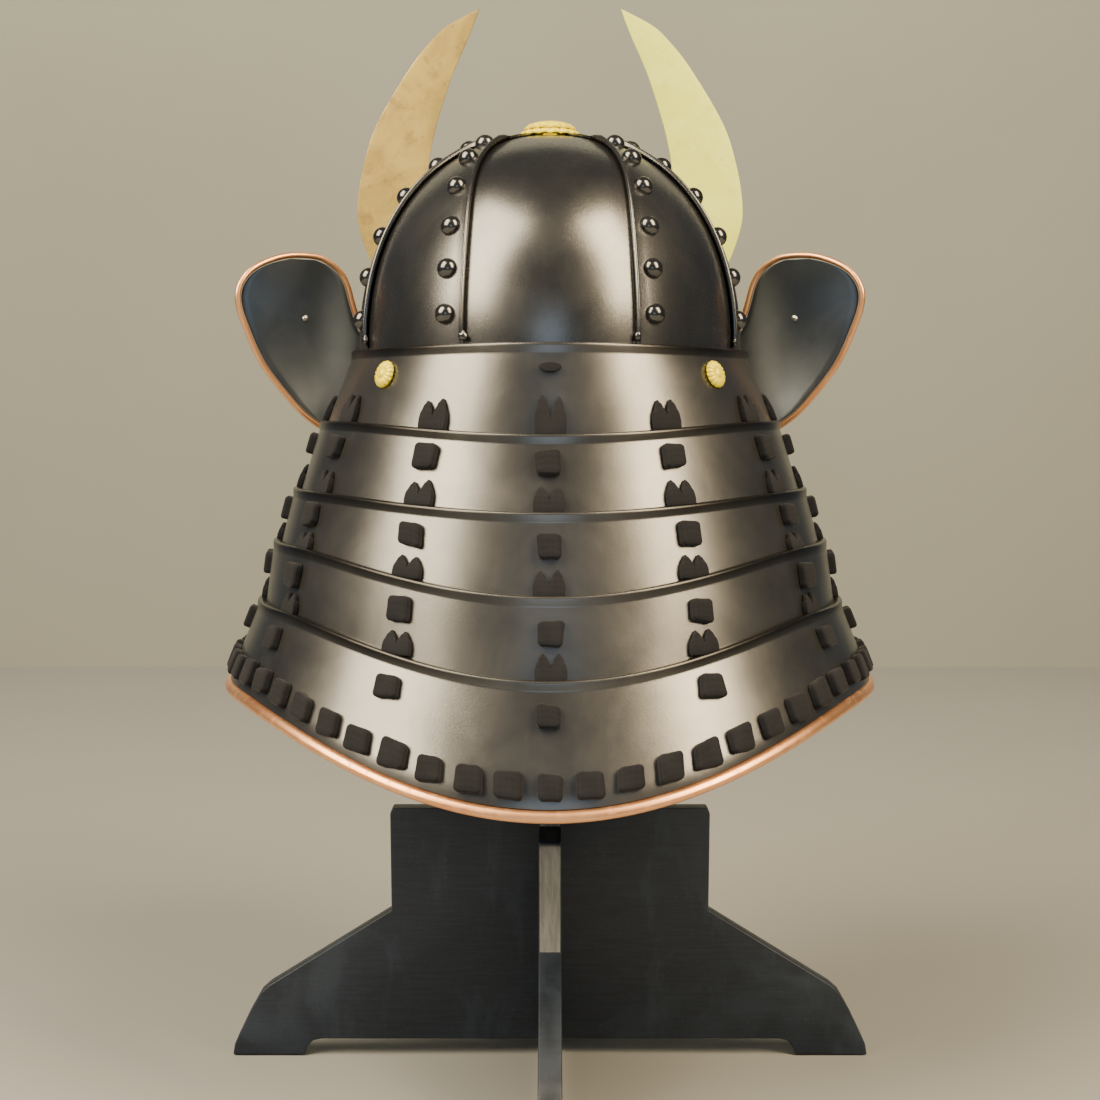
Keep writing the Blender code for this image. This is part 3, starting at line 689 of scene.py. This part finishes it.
def make_plate(name, degrees, over_low, over_high):
    """A grid laid over the bowl; an edge on top of its neighbour is raised into a rib."""
    middle = math.radians(degrees)
    columns = [("face", HALF_PLATE * k / 11) for k in range(-9, 10)]
    for side, over in ((-1, over_low), (1, over_high)):
        if over:
            edge = [("rib", (side, run, share)) for run, share in RIB_SECTION]
        else:
            edge = [("lap", side * share) for share in (1.0, 0.5)] + [("face", side * HALF_PLATE)]
        columns = edge + columns if side < 0 else columns + edge[::-1]
    across, up = len(columns) - 1, len(PLATE_CLIMBS) - 1
    piece = grid(name, across, up)
    for vertex in piece.data.vertices:
        kind, value = columns[round((vertex.co.x + 1) / 2 * across)]
        climb = PLATE_CLIMBS[round((vertex.co.y + 1) / 2 * up)]
        at = max(climb, 0.0)
        rib = 0.0
        if kind == "lap":
            lap = min(arc_angle(LAP_WIDTH, at), LAP_MAX)
            local = value * lap + math.copysign(HALF_PLATE, value)
        elif kind == "face":
            local = value
        else:
            side, run, share = value
            local = side * (HALF_PLATE - min(arc_angle(run, at), run * 20.0))
            rib = RIB_HEIGHT * share * rib_share(at)
        lift = plate_lift(local, over_low, over_high) + rib
        spot, normal = bowl_point(middle + local, at, lift)
        if climb < 0:
            spot.z = BOWL_RIM_Z + BOWL_SKIRT * climb / 2
        vertex.co = spot
    tidy_mesh(piece)
    face = piece.data.polygons[len(piece.data.polygons) // 2]
    thicken(piece, face, face.center - Vector((0, SHIFT_Y, BOWL_RIM_Z)), PLATE_SHEET, even=False)
    ease(piece, 0.0003, 2, 50)
    smooth(piece, 40)
    return piece


def ribbed_edges():
    """Each plate edge that lies on its neighbour: the plate's turn, its side and its laps."""
    for _, degrees, over_low, over_high in PLATES:
        for side, over in ((-1, over_low), (1, over_high)):
            if over:
                yield math.radians(degrees), side, over_low, over_high


def make_rivets():
    """One round head, copied down every rib."""
    head = begin("uv_sphere", "bowl_rivets", segments=20, ring_count=14, radius=RIVET_RADIUS)
    cut((0, 0, -RIVET_SEAT), (0, 0, 1), use_fill=True, clear_inner=True)
    leave()
    head.scale = (1, 1, RIVET_FLATNESS)
    settle(head)
    places = []
    for middle, side, over_low, over_high in ribbed_edges():
        for z in RIVET_HEIGHTS:
            climb = climb_at(z)
            local = side * (HALF_PLATE - arc_angle(RIVET_STEP, climb))
            spot, normal = bowl_point(middle + local, climb,
                                      plate_lift(local, over_low, over_high))
            places.append(seat_matrix(spot, normal, turn=dice.uniform(0, 6)))
    rivets = joined("bowl_rivets", [copy_at(head, place) for place in places], head)
    smooth(rivets, 50)
    return rivets


def make_solder():
    """A small lump of solder at the foot of each rib."""
    lump = begin("ico_sphere", "rib_solder", subdivisions=3, radius=0.0021)
    all_of_it()
    bpy.ops.transform.resize(value=(0.85, 1.5, 0.62))
    choose(lump, "VERT", lambda v: v.co.y > 0.0012)
    bpy.ops.transform.resize(value=(0.6, 1.0, 0.8), center_override=(0.0004, 0.0012, 0))
    choose(lump, "VERT", lambda v: v.co.x > 0.0008 and v.co.y < 0)
    bpy.ops.transform.translate(value=(0.0006, -0.0004, 0.0))
    leave()
    places = []
    for middle, side, _, _ in ribbed_edges():
        angle = middle + side * (HALF_PLATE - SOLDER_INSET)
        spot, normal = bowl_point(angle, 1.3 + dice.uniform(0, 0.8), LAP_LIFT + 0.0002)
        places.append(seat_matrix(spot, normal, turn=dice.uniform(-0.3, 0.3),
                                  scale=[dice.uniform(0.8, 1.25) for _ in range(3)]))
    lumps = joined("rib_solder", [copy_at(lump, place) for place in places], lump)
    smooth(lumps, 60)
    return lumps


def edge_share(angle, level):
    level = math.radians(level)
    return math.sin(min(abs(angle), level) / level * math.pi / 2) ** 2


def hoop(name, rows, end_degrees, closed=False):
    """A band round the helmet, open at the brow, extruded row by row from one ring.

    Each row is half width, depth, rear height, side height and level angle.
    """
    piece = begin("circle", name, vertices=180, radius=1.0, fill_type="NOTHING")
    end = math.radians(end_degrees) + 0.001
    choose(piece, "VERT", lambda v: abs(math.atan2(v.co.x, v.co.y)) > end)
    bpy.ops.mesh.delete(type="VERT")
    all_of_it()
    first = rows[0]
    bpy.ops.transform.resize(value=(first[0], first[1], 1), center_override=(0, 0, 0))
    bpy.ops.transform.translate(value=(0, 0, first[2]))
    for before, row in zip(rows, rows[1:]):
        bpy.ops.mesh.extrude_edges_move(
            TRANSFORM_OT_translate={"value": (0, 0, row[2] - before[2])})
        bpy.ops.transform.resize(value=(row[0] / before[0], row[1] / before[1], 1),
                                 center_override=(0, 0, 0))
    leave()
    for vertex in piece.data.vertices:
        row = min(rows, key=lambda r: abs(r[2] - vertex.co.z))
        angle = math.atan2(vertex.co.x / row[0], vertex.co.y / row[1])
        vertex.co.z += (row[3] - row[2]) * edge_share(angle, row[4])
        vertex.co.y += SHIFT_Y
    if closed:
        open_up(piece)
        choose(piece, "EDGE", lambda e: e.is_boundary and not is_end_edge(e))
        bpy.ops.mesh.bridge_edge_loops()
        all_of_it()
        bpy.ops.mesh.fill_holes(sides=0)
        leave()
    tidy_mesh(piece)
    return piece


def is_end_edge(edge):
    """Whether an edge runs round the section, at a hoop's end, and not along the hoop."""
    a, b = (v.co for v in edge.verts)
    flat_a, flat_b = Vector((a.x, a.y - SHIFT_Y)), Vector((b.x, b.y - SHIFT_Y))
    turn = abs(flat_a.angle_signed(flat_b))
    return turn < math.radians(0.9)


def edge_height(index, degrees):
    edge = LAME_EDGES[index]
    return edge[2] + (edge[3] - edge[2]) * edge_share(math.radians(degrees), edge[4])


def face_height(index, degrees):
    """How much of a lame shows between its own edge and the next one's."""
    return edge_height(index, degrees) - edge_height(index + 1, degrees)


def lame_levels(index):
    """Rows of a lame's outer face, as hoop takes them."""
    top, below = LAME_EDGES[index], LAME_EDGES[index + 1]
    last = index == 4
    lip = FIRST_LIP if index == 0 else LAME_STEP - 0.0004
    rows = [(top[0] - lip * share, top[1] - lip * share, top[2] - drop, top[3] - drop, top[4])
            for share, drop in SHOULDER_ROWS]
    step = 0.0 if last else LAME_STEP
    tail = RIM_BAND_TALL + RIM_GAP if last else -LAME_TUCK
    rear, side = top[2] - SHOULDER_DROP, top[3] - SHOULDER_DROP
    flare_side = (below[0] - step - top[0]) / (side - below[3])
    flare_rear = (below[1] - step - top[1]) / (rear - below[2])
    for share in FACE_SHARES:
        drop_rear = (rear - (below[2] + tail)) * share
        drop_side = (side - (below[3] + tail)) * share
        rows.append((top[0] + flare_side * drop_side, top[1] + flare_rear * drop_rear,
                     rear - drop_rear, side - drop_side, top[4] + (below[4] - top[4]) * share))
    return rows


def make_lame(index):
    piece = hoop("neck_lame_%d_sheet" % (index + 1), lame_levels(index), LAME_ENDS[index])
    middle = min(piece.data.polygons, key=lambda p: (p.center - Vector((
        0, LAME_EDGES[index][1], LAME_EDGES[index][2] - 0.02))).length)
    thicken(piece, middle, Vector((0, 1, 0)))
    ease(piece, 0.0004, 2, 55)
    lay_shoulder_shade(piece, index)
    smooth(piece, 45)
    return piece


def lay_shoulder_shade(piece, index):
    """How much painted shade lies on a lame's shoulder, under the edge above: least at the rear,
    none on its face.
    """
    shoulder_shade = piece.data.attributes.new("shoulder_shade", "FLOAT", "POINT")
    top = LAME_EDGES[index]
    for vertex in piece.data.vertices:
        angle = math.degrees(math.atan2(vertex.co.x / top[0], (vertex.co.y - SHIFT_Y) / top[1]))
        drop = edge_height(index, angle) - vertex.co.z
        on_shoulder = min(max((SHOULDER_DROP + 0.0002 - drop) / SHADE_FADE, 0.0), 1.0)
        aside = min(max((abs(angle) - SHADE_FROM) / SHADE_RUN, 0.0), 1.0)
        shoulder_shade.data[vertex.index].value = SHADE_MOST * on_shoulder * aside * aside * (3 - 2 * aside)


def lame_spot(index, degrees, drop):
    """A point on a lame's face a given drop below its edge, with its outward direction."""
    rows = lame_levels(index)
    angle = math.radians(degrees)

    def at(row, turn=0.0):
        sag = edge_share(angle + turn, row[4])
        return Vector((row[0] * math.sin(angle + turn), row[1] * math.cos(angle + turn) + SHIFT_Y,
                       row[2] + (row[3] - row[2]) * sag))

    z = at(rows[1]).z - drop
    face = rows[len(SHOULDER_ROWS) - 1:]
    for high, low in zip(face, face[1:]):
        if at(low).z <= z or low is rows[-1]:
            top, bottom = at(high), at(low)
            part = (z - top.z) / (bottom.z - top.z)
            spot = top + (bottom - top) * part
            aside = at(high, 0.02) - at(high, -0.02)
            normal = aside.cross(top - bottom).normalized()
            if normal.x * spot.x + normal.y * (spot.y - SHIFT_Y) < 0:
                normal = -normal
            return spot, normal


def ear_depth(x, z):
    straight = EAR_PLANE_Y + (x - EAR_PLANE_X) * EAR_SLOPE
    hollow = EAR_HOLLOW * (z - EAR_PIN[1]) ** 2
    return straight + EAR_CUP * max(x - EAR_PLANE_X, 0.0) ** 2 + hollow + SHIFT_Y


def ear_normal(x):
    slope = EAR_SLOPE + 2 * EAR_CUP * max(x - EAR_PLANE_X, 0.0)
    return Vector((-slope, 1.0, 0.0)).normalized()


def make_ear(side, word):
    rows = curve_through(EAR_ROWS, 4)
    piece = grid("ear_sheet_" + word, 16, len(rows) - 1)
    for vertex in piece.data.vertices:
        z, inner, outer = rows[round((vertex.co.y + 1) / 2 * (len(rows) - 1))]
        x = inner + (outer - inner) * (vertex.co.x + 1) / 2
        vertex.co = (x * side, ear_depth(x, z), z)
    tidy_mesh(piece)
    thicken(piece, piece.data.polygons[0], Vector((0, 1, 0)))
    ease(piece, 0.0004, 2, 55)
    smooth(piece, 45)
    return piece


def ear_edge(reach):
    """Points round the ear's free edge, from its foot over the top to its inner side."""
    outline = [(outer, z) for z, _, outer in EAR_ROWS]
    outline += [(inner, z) for z, inner, _ in reversed(EAR_ROWS[EAR_FREE_ROW:])]
    spots = []
    for i, (x, z) in enumerate(outline):
        before = Vector(outline[max(i - 1, 0)])
        after = Vector(outline[min(i + 1, len(outline) - 1)])
        along = (after - before).normalized()
        x_out, z_out = x + along.y * reach, z - along.x * reach
        spot = Vector((x_out, ear_depth(x_out, z_out), z_out)) - 0.5 * SHEET * ear_normal(x)
        spots.append(spot)
    return curve_through(spots, 4)


def visor_point(angle, share):
    swell = max(math.cos(angle / VISOR_HALF_ANGLE * math.pi / 2), 0.0) ** 0.5
    inner_x = (BOWL_HALF_WIDTH + LAP_LIFT + 0.0005) * math.sin(angle)
    inner_y = -(BOWL_HALF_DEPTH + LAP_LIFT + 0.0005) * math.cos(angle)
    x = inner_x * (1 + VISOR_SPREAD * swell * share)
    y = inner_y - VISOR_REACH * swell * share
    z = VISOR_Z - VISOR_DROP * swell * share + VISOR_ARCH * swell * 4 * share * (1 - share)
    z -= VISOR_DIP * share
    if angle:
        x += VISOR_CORNER * share * math.copysign(1, angle) * (1 - swell)
    return Vector((x, y - VISOR_PUSH * share + SHIFT_Y, z))


def make_visor():
    piece = grid("visor_sheet", 48, 12)
    for vertex in piece.data.vertices:
        vertex.co = visor_point(vertex.co.x * VISOR_HALF_ANGLE, (vertex.co.y + 1) / 2)
    tidy_mesh(piece)
    thicken(piece, piece.data.polygons[0], Vector((0, 0, 1)), even=False)
    smooth(piece, 45)
    return piece


def make_visor_rim():
    path = []
    for k in range(-28, 29):
        angle = VISOR_HALF_ANGLE * k / 32
        edge = visor_point(angle, 1.0) - Vector((0, 0, SHEET / 2))
        away = visor_point(angle, 1.0) - visor_point(angle, 0.8)
        along = (visor_point(angle + 0.02, 1.0) - visor_point(angle - 0.02, 1.0)).normalized()
        away = (away - along * away.dot(along)).normalized()
        path.append(edge + away * (VISOR_RIM_RADIUS + 2 * GAP))
    return make_bead("visor_edging", path, VISOR_RIM_RADIUS)


def make_horn(side):
    """A flat outline given its thickness, with softened edges and a sharp tip."""
    outer = curve_through(HORN_OUTLINE[:HORN_TIP + 1], 4)
    inner = curve_through(HORN_OUTLINE[HORN_TIP:], 4)
    outline = [(x * side, z, 0) for x, z in outer + inner[1:]]
    blade = drawn("horn_blade_left" if side > 0 else "horn_blade_right", outline, True,
                  dimensions="2D", fill_mode="BOTH", extrude=HORN_THICK / 2 - HORN_SOFT_EDGE,
                  bevel_depth=HORN_SOFT_EDGE, bevel_resolution=2, offset=-HORN_SOFT_EDGE)
    blade.data.transform(Matrix.Translation((0, HORN_REAR_Y - HORN_THICK / 2, 0))
                         @ Matrix.Rotation(math.radians(90), 4, "X"))
    tidy_mesh(blade)
    smooth(blade, 30)
    return blade


def turned(name, profile, steps, petals, depth, from_radius):
    """A profile of radius and height spun round +Z; petals scallop its outer rings."""
    mesh = bpy.data.meshes.new(name)
    edges = [(i, i + 1) for i in range(len(profile) - 1)]
    mesh.from_pydata([(r, 0, z) for r, z in profile], edges, [])
    piece = in_scene(name, mesh)
    open_up(piece)
    bpy.ops.mesh.spin(steps=steps, angle=2 * math.pi, center=(0, 0, 0), axis=(0, 0, 1))
    leave()
    for vertex in piece.data.vertices:
        radius = math.hypot(vertex.co.x, vertex.co.y)
        if radius > from_radius:
            turn = math.atan2(vertex.co.y, vertex.co.x)
            dip = 1 - abs(math.sin(turn * petals / 2))
            scale = 1 - depth * dip ** 2 * min((radius - from_radius) / from_radius * 3, 1)
            vertex.co.x *= scale
            vertex.co.y *= scale
            vertex.co.z -= dip ** 2 * PETAL_DIP * min((radius - from_radius) / from_radius, 1)
    tidy_mesh(piece)
    return piece


def make_boss():
    top = BOWL_RIM_Z + BOWL_HEIGHT + LAP_LIFT + 1.3 * GAP
    base = turned("crown_flower", (
        (0.0042, 0.0001), (0.0120, -0.0001), (0.0150, -0.0006), (0.0164, -0.0010),
        (0.0166, -0.0002), (0.0162, 0.0006), (0.0150, 0.0013), (0.0135, 0.0019),
        (0.0120, 0.0023), (0.0104, 0.0025), (0.0042, 0.0025), (0.0042, 0.0001),
    ), 128, 16, 0.07, 0.0090)
    ring = turned("crown_ring", (
        (0.0040, 0.0022), (0.0142, 0.0022), (0.0144, 0.0029), (0.0138, 0.0036),
        (0.0128, 0.0040), (0.0125, 0.0046), (0.0118, 0.0051), (0.0106, 0.0054),
        (0.0094, 0.0056), (0.0088, 0.0060), (0.0076, 0.0063), (0.0052, 0.0063),
        (0.0041, 0.0060), (0.0040, 0.0022),
    ), 96, 12, 0.05, 0.0085)
    boss = joined("crown_flower", (base, ring))
    boss.data.transform(Matrix.Translation((0, SHIFT_Y, top)))
    smooth(boss, 40)
    return boss


def make_gold_rivet(side):
    """A chrysanthemum head: scalloped petals round a small raised eye."""
    flower = turned("gilt_flower", (
        (0.0, 0.0), (0.0066, 0.0), (0.0072, 0.0004), (0.0073, 0.0010), (0.0069, 0.0018),
        (0.0060, 0.0026), (0.0048, 0.0031), (0.0036, 0.0032), (0.0030, 0.0030),
        (0.0027, 0.0031), (0.0024, 0.0036), (0.0017, 0.0039), (0.0008, 0.00405), (0.0, 0.0041),
    ), 128, 16, 0.10, 0.0032)
    spot, normal = lame_spot(0, side * GOLD_RIVET_ANGLE, GOLD_RIVET_DROP)
    flower.data.transform(seat_matrix(spot + normal * GAP, normal, turn=side * 0.1))
    flower.name = "gilt_rivet_left" if side > 0 else "gilt_rivet_right"
    smooth(flower, 40)
    return flower


def braid_map(piece, width):
    """UV of the braid: across and along the cord, in cord widths."""
    layer = piece.data.uv_layers.new(name="braid")
    for loop in piece.data.loops:
        spot = piece.data.vertices[loop.vertex_index].co
        layer.data[loop.index].uv = (spot.x / width, spot.y / width)
    for other in [u for u in piece.data.uv_layers if u.name != "braid"]:
        piece.data.uv_layers.remove(other)


def knot_pad(name, width, tall, thick, pinch, corner=0.22):
    """A flat square knot: a block with rounded corners and slightly hollow sides."""
    pad = begin("cube", name, size=1)
    all_of_it()
    bpy.ops.transform.resize(value=(width, tall, thick * 0.72))
    bpy.ops.mesh.subdivide(number_cuts=3)
    choose(pad, "EDGE", lambda e: all(abs(v.co.x) > width * 0.49 and abs(v.co.y) > tall * 0.49
                                      for v in e.verts))
    bpy.ops.mesh.bevel(offset=tall * corner, segments=4)
    choose(pad, "FACE", lambda f: f.normal.z > 0.9)
    for inset, rise in ((0.06, 0.13), (0.10, 0.10), (0.16, 0.05)):
        bpy.ops.mesh.inset(thickness=thick * inset, depth=thick * rise)
    leave()
    for vertex in pad.data.vertices:
        x, y = vertex.co.x / width * 2, vertex.co.y / tall * 2
        vertex.co.x *= 1 - pinch * (1 - y * y)
        vertex.co.y *= 1 - pinch * 1.2 * (1 - x * x)
        vertex.co.z += thick * 0.05 * (1 - x * x) * (1 - y * y) if vertex.co.z > 0 else 0.0
    tidy_mesh(pad)
    braid_map(pad, width)
    return pad


def cord_blade(name, width, tall, thick):
    """One pointed half of a lacing pair, its foot at the origin."""
    blade = begin("cube", name, size=1)
    all_of_it()
    bpy.ops.transform.resize(value=(width, tall, thick))
    bpy.ops.transform.translate(value=(0, tall / 2, 0))
    for y, share in CORD_OUTLINE[:-1]:
        cut((0, tall * y, 0), (0, 1, 0))
    for y, share in CORD_OUTLINE:
        choose(blade, "VERT", lambda v: abs(v.co.y - tall * y) < tall * 0.012)
        bpy.ops.transform.resize(value=(share, 1, 0.62 + 0.38 * share),
                                 center_override=(0, tall * y, -thick / 2))
    for side in (-1, 1):
        cut((side * width * 0.36, 0, 0), (1, 0, 0))
    cut((0, 0, thick * 0.22), (0, 0, 1))
    leave()
    finish_with(blade, "SUBSURF", levels=2, render_levels=2)
    tidy_mesh(blade)
    braid_map(blade, width * 1.6)
    return blade


def pulled(pad, pulls):
    """A copy of a pad with its four corners pulled aside, low left to high right."""
    twin = copy_at(pad, Matrix.Identity(4))
    for vertex in twin.data.vertices:
        u = min(max(vertex.co.x / PAD + 0.5, 0.0), 1.0)
        v = min(max(vertex.co.y / PAD + 0.5, 0.0), 1.0)
        shares = ((1 - u) * (1 - v), u * (1 - v), (1 - u) * v, u * v)
        for share, (dx, dy) in zip(shares, pulls):
            vertex.co.x += dx * share
            vertex.co.y += dy * share
    return twin


def corner_pulls(most):
    return [(dice.uniform(-most, most), dice.uniform(-most, most)) for _ in range(4)]


def lay_knot(pad, seat, pulls, turn, scale=(1, 1, 1)):
    spot, normal = seat
    knot = pulled(pad, pulls)
    knot.data.transform(seat_matrix(spot + normal * PAD_SEAT, normal, turn=turn, scale=scale))
    return knot


def lay_cords(blade, seat, tall):
    """The two halves of a lacing pair, leaning a little toward each other."""
    spot, normal = seat
    for side in (-1, 1):
        place = seat_matrix(spot + normal * CORD_SEAT, normal, turn=-side * dice.uniform(0.0, 0.05),
                            scale=(1, tall * dice.uniform(0.95, 1.05), 1))
        yield copy_at(blade, place @ Matrix.Translation((side * CORD_SPREAD, 0, 0)))


def lay_oval():
    """The small oval knot at the rear of lame 1."""
    oval = knot_pad("oval", *OVAL_SIZE, -0.36, 0.24)
    spot, normal = lame_spot(0, 0, OVAL_DROP)
    laid = copy_at(oval, seat_matrix(spot + normal * OVAL_SEAT, normal, scale=(1, 1, 2)))
    bpy.data.objects.remove(oval, do_unlink=True)
    return laid


def lay_hem(pad):
    """The row of square knots above the copper edge, each sheared along the edge's climb."""
    for k in range(-HEM_KNOTS, HEM_KNOTS + 1):
        angle = k * HEM_STEP
        away = 1 if k > 0 else -1
        slope = abs(rim_slope(angle))
        seat = lame_spot(4, angle, face_height(4, angle) - HEM_RISE)
        shear = away * HEM_SHEAR * min(slope * 1.6, 1)
        pulls = [(dx, dy + (-shear if corner % 2 else shear))
                 for corner, (dx, dy) in enumerate(corner_pulls(0.0009))]
        high = 2 if away > 0 else 3
        pulls[high] = (pulls[high][0], pulls[high][1] + HEM_LIFT * min(slope * 2.2, 1.0))
        yield lay_knot(pad, seat, pulls, dice.uniform(-0.05, 0.05),
                       (dice.uniform(1.00, 1.08), dice.uniform(1.02, 1.10), 1))


def make_lacing(index):
    """Pairs of pointed cords that dive behind the next lame, and square knots above them."""
    parts = []
    pad = knot_pad("knot", PAD, PAD, PAD_THICK, PAD_PINCH)
    blade = cord_blade("cord", CORD_WIDTH, CORD_TALL, CORD_THICK)
    for column in COLUMNS if index else (-EAR_COLUMN, *COLUMNS, EAR_COLUMN):
        column += dice.uniform(-0.4, 0.4)
        face = face_height(index, column)
        narrow = min(face / face_height(index, 0), 1.0)
        if index:
            seat = lame_spot(index, column, KNOT_DROPS[index] * narrow)
            parts.append(lay_knot(pad, seat, corner_pulls(0.0011), dice.uniform(-0.06, 0.06)))
        if index < 4:
            middle = abs(column) < 2
            tall = (1.34 if middle else 1.08) if index == 0 else 0.90 * narrow
            parts.extend(lay_cords(blade, lame_spot(index, column, face + CORD_TUCK), tall))
    if index == 0:
        parts.append(lay_oval())
    if index == 4:
        parts.extend(lay_hem(pad))
    lacing = joined("lacing_lame_%d" % (index + 1), parts, pad, blade)
    smooth(lacing, 50)
    return lacing


def rim_slope(angle):
    """Climb of the neck guard's lower edge per length round it, away from the rear."""
    run = math.radians(4) * 0.5 * (LAME_EDGES[5][0] + LAME_EDGES[5][1])
    return (edge_height(5, angle + 2) - edge_height(5, angle - 2)) / run


def make_neck_rim():
    """The copper band folded round the lower edge of the last lame."""
    wide, deep, rear, side, level = LAME_EDGES[5]
    rows = []
    for outset, up in RIM_SECTION:
        lean = (RIM_BAND_TALL - up) * RIM_LEAN - RIM_SINK
        rows.append((wide + outset + lean, deep + outset + lean, rear + up, side + up, level))
    rim = hoop("neck_edging", rows, LAME_ENDS[4], closed=True)
    smooth(rim, 60)
    return rim


def board_copy(node, name):
    """A flat piece from its solid: faces merged where they lie level, every edge eased."""
    let_go()
    board = in_scene(name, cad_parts[node].data.copy())
    open_up(board)
    bpy.ops.mesh.remove_doubles(threshold=0.00002)
    bpy.ops.mesh.dissolve_limited(angle_limit=math.radians(1))
    leave()
    ease(board, 0.0009, 3, 25)
    smooth(board, 30)
    return board


black = lacquer("black_lacquer", (0.124, 0.126, 0.128), (0.158, 0.159, 0.158), 0.265, 0.93)
rivet_black = lacquer("rivet_lacquer", (0.11, 0.112, 0.115), (0.145, 0.146, 0.15), 0.19, 0.93)
# The lames' shoulders carry painted shade under the edge of the lame above.
lame_black = lacquer("lame_lacquer", (0.150, 0.150, 0.148), (0.192, 0.190, 0.184), 0.295, 0.93,
                     shade_shoulders=True)
# Painted shade and reflection: the ears get a darker, bluer copy of the lame lacquer, standing in
# for the dark and sky-blue reflections they show.
ear_shaded_black = lacquer("ear_lacquer_shaded", (0.098, 0.114, 0.128), (0.128, 0.142, 0.156), 0.33, 0.93, True)
cords = cord_cloth()
worn_copper = copper()
gold = gilt()
steel = pin_steel()
paint = board_paint()
# Painted light: the two horns are lit and shaded copies of one brass, the left darker and browner as
# if in shade, the right pale yellow-green as if brightly lit.
shaded_brass_left = horn_brass("horn_brass_left_shaded", (0.66, 0.495, 0.14), (0.40, 0.290, 0.085),
                        (0.22, 0.145, 0.05), 0.65, 0.40)
lit_brass_right = horn_brass("horn_brass_right_lit", (0.92, 0.99, 0.20), (0.82, 0.90, 0.13),
                         (0.60, 0.60, 0.10), 0.50, 0.15)
brass_holder = horn_brass("holder_brass", (0.82, 0.68, 0.30), (0.64, 0.50, 0.20),
                          (0.36, 0.26, 0.10), 0.6, 0.8)

for node, *laps in PLATES:
    dress(make_plate(node + "_sheet", *laps), black, "black_lacquer", node)
dress(make_rivets(), rivet_black, "black_lacquer")
dress(make_solder(), rivet_black, "black_lacquer")

for index, lame in enumerate([make_lame(index) for index in range(5)]):
    dress(lame, lame_black, "lame_lacquer", "neck_lame_%d" % (index + 1))
    dress(make_lacing(index), cords, "lame_lacquer")

for side, word in ((1, "left"), (-1, "right")):
    edge = [Vector((p.x * side, p.y, p.z)) for p in ear_edge(EAR_RIM_RADIUS + GAP)]
    bead = make_bead("ear_edging_" + word, edge, EAR_RIM_RADIUS)
    dress(bead, worn_copper, "copper_edging", "ear_rim_" + word)
    dress(make_ear(side, word), ear_shaded_black, "lame_lacquer")
    brass = shaded_brass_left if side > 0 else lit_brass_right
    dress(make_horn(side), brass, "horn_brass", "horn_" + word)
    dress(make_gold_rivet(side), gold, "gold_fitting", "gold_rivet_" + word)

dress(make_neck_rim(), worn_copper, "copper_edging", "neck_rim")

dress(make_visor(), black, "black_lacquer", "visor")
dress(make_visor_rim(), worn_copper, "copper_edging", "visor_rim")
dress(make_boss(), gold, "gold_fitting", "crown_boss")
dress(board_copy("horn_holder", "horn_socket"), brass_holder, "holder_brass", "horn_holder")
for node, name in (("stand_cross_board", "cross_board"), ("stand_fore_board", "fore_board")):
    dress(board_copy(node, name), paint, "stand_paint", node)
for node in ("ear_pin_left", "ear_pin_right"):
    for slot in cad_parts[node].material_slots:
        slot.material = steel


def lay_ground(name, color, variation, **where):
    let_go()
    bpy.ops.mesh.primitive_plane_add(**where)
    ground = bpy.context.object
    ground.name = name
    settle(ground)
    ground.data.materials.append(plain_ground("pale_" + name, color, variation))
    return ground


def soft_light(name, place, aim, size, power, color):
    light = bpy.data.lights.new(name, "AREA")
    light.shape = "RECTANGLE"
    light.size, light.size_y = size
    light.energy = power
    light.color = color
    lamp = in_scene(name, light)
    lamp.location = place
    lamp.rotation_euler = (Vector(aim) - Vector(place)).to_track_quat("-Z", "Y").to_euler()


floor = lay_ground("floor", (0.285, 0.292, 0.285), 0.96, size=3.2, location=(0, 0, -0.0005))
wall = lay_ground("wall", (0.262, 0.276, 0.246), 0.93, size=2.2, location=(0, -1.6, 1.0995),
                  rotation=(math.radians(90), 0, 0))

soft_light("left_window", (1.39, 0.90, 1.74), (0, 0.05, 0.36), (1.35, 2.0), 134, (1.0, 0.83, 0.585))
soft_light("right_window", (-1.30, 1.02, 1.66), (0, 0.05, 0.36), (0.85, 1.8), 100, (1.0, 0.79, 0.50))
soft_light("back_sky", (0, 2.7, 0.60), (0, 0, 0.34), (0.9, 0.7), 3.3, (0.66, 0.83, 1.0))
soft_light("wall_wash", (0, -0.5, 2.2), (0, -1.6, 2.2), (2.0, 0.4), 34, (1.0, 0.90, 0.76))

world = bpy.data.worlds.new("studio")
bpy.context.scene.world = world
world.use_nodes = True
background = world.node_tree.nodes["Background"].inputs
background["Color"].default_value = (0.46, 0.58, 0.72, 1)
background["Strength"].default_value = 0.13

camera_data = bpy.data.cameras.new("photo_camera")
camera_data.sensor_width = 36
camera_data.lens = FOCAL_PIXELS / PHOTO_PIXELS * camera_data.sensor_width
camera = in_scene("photo_camera", camera_data)
camera.location = (0, 1.06, 0.3674)
camera.rotation_euler = (math.radians(90 - CAMERA_DIP), 0, math.radians(180))
bpy.context.scene.camera = camera
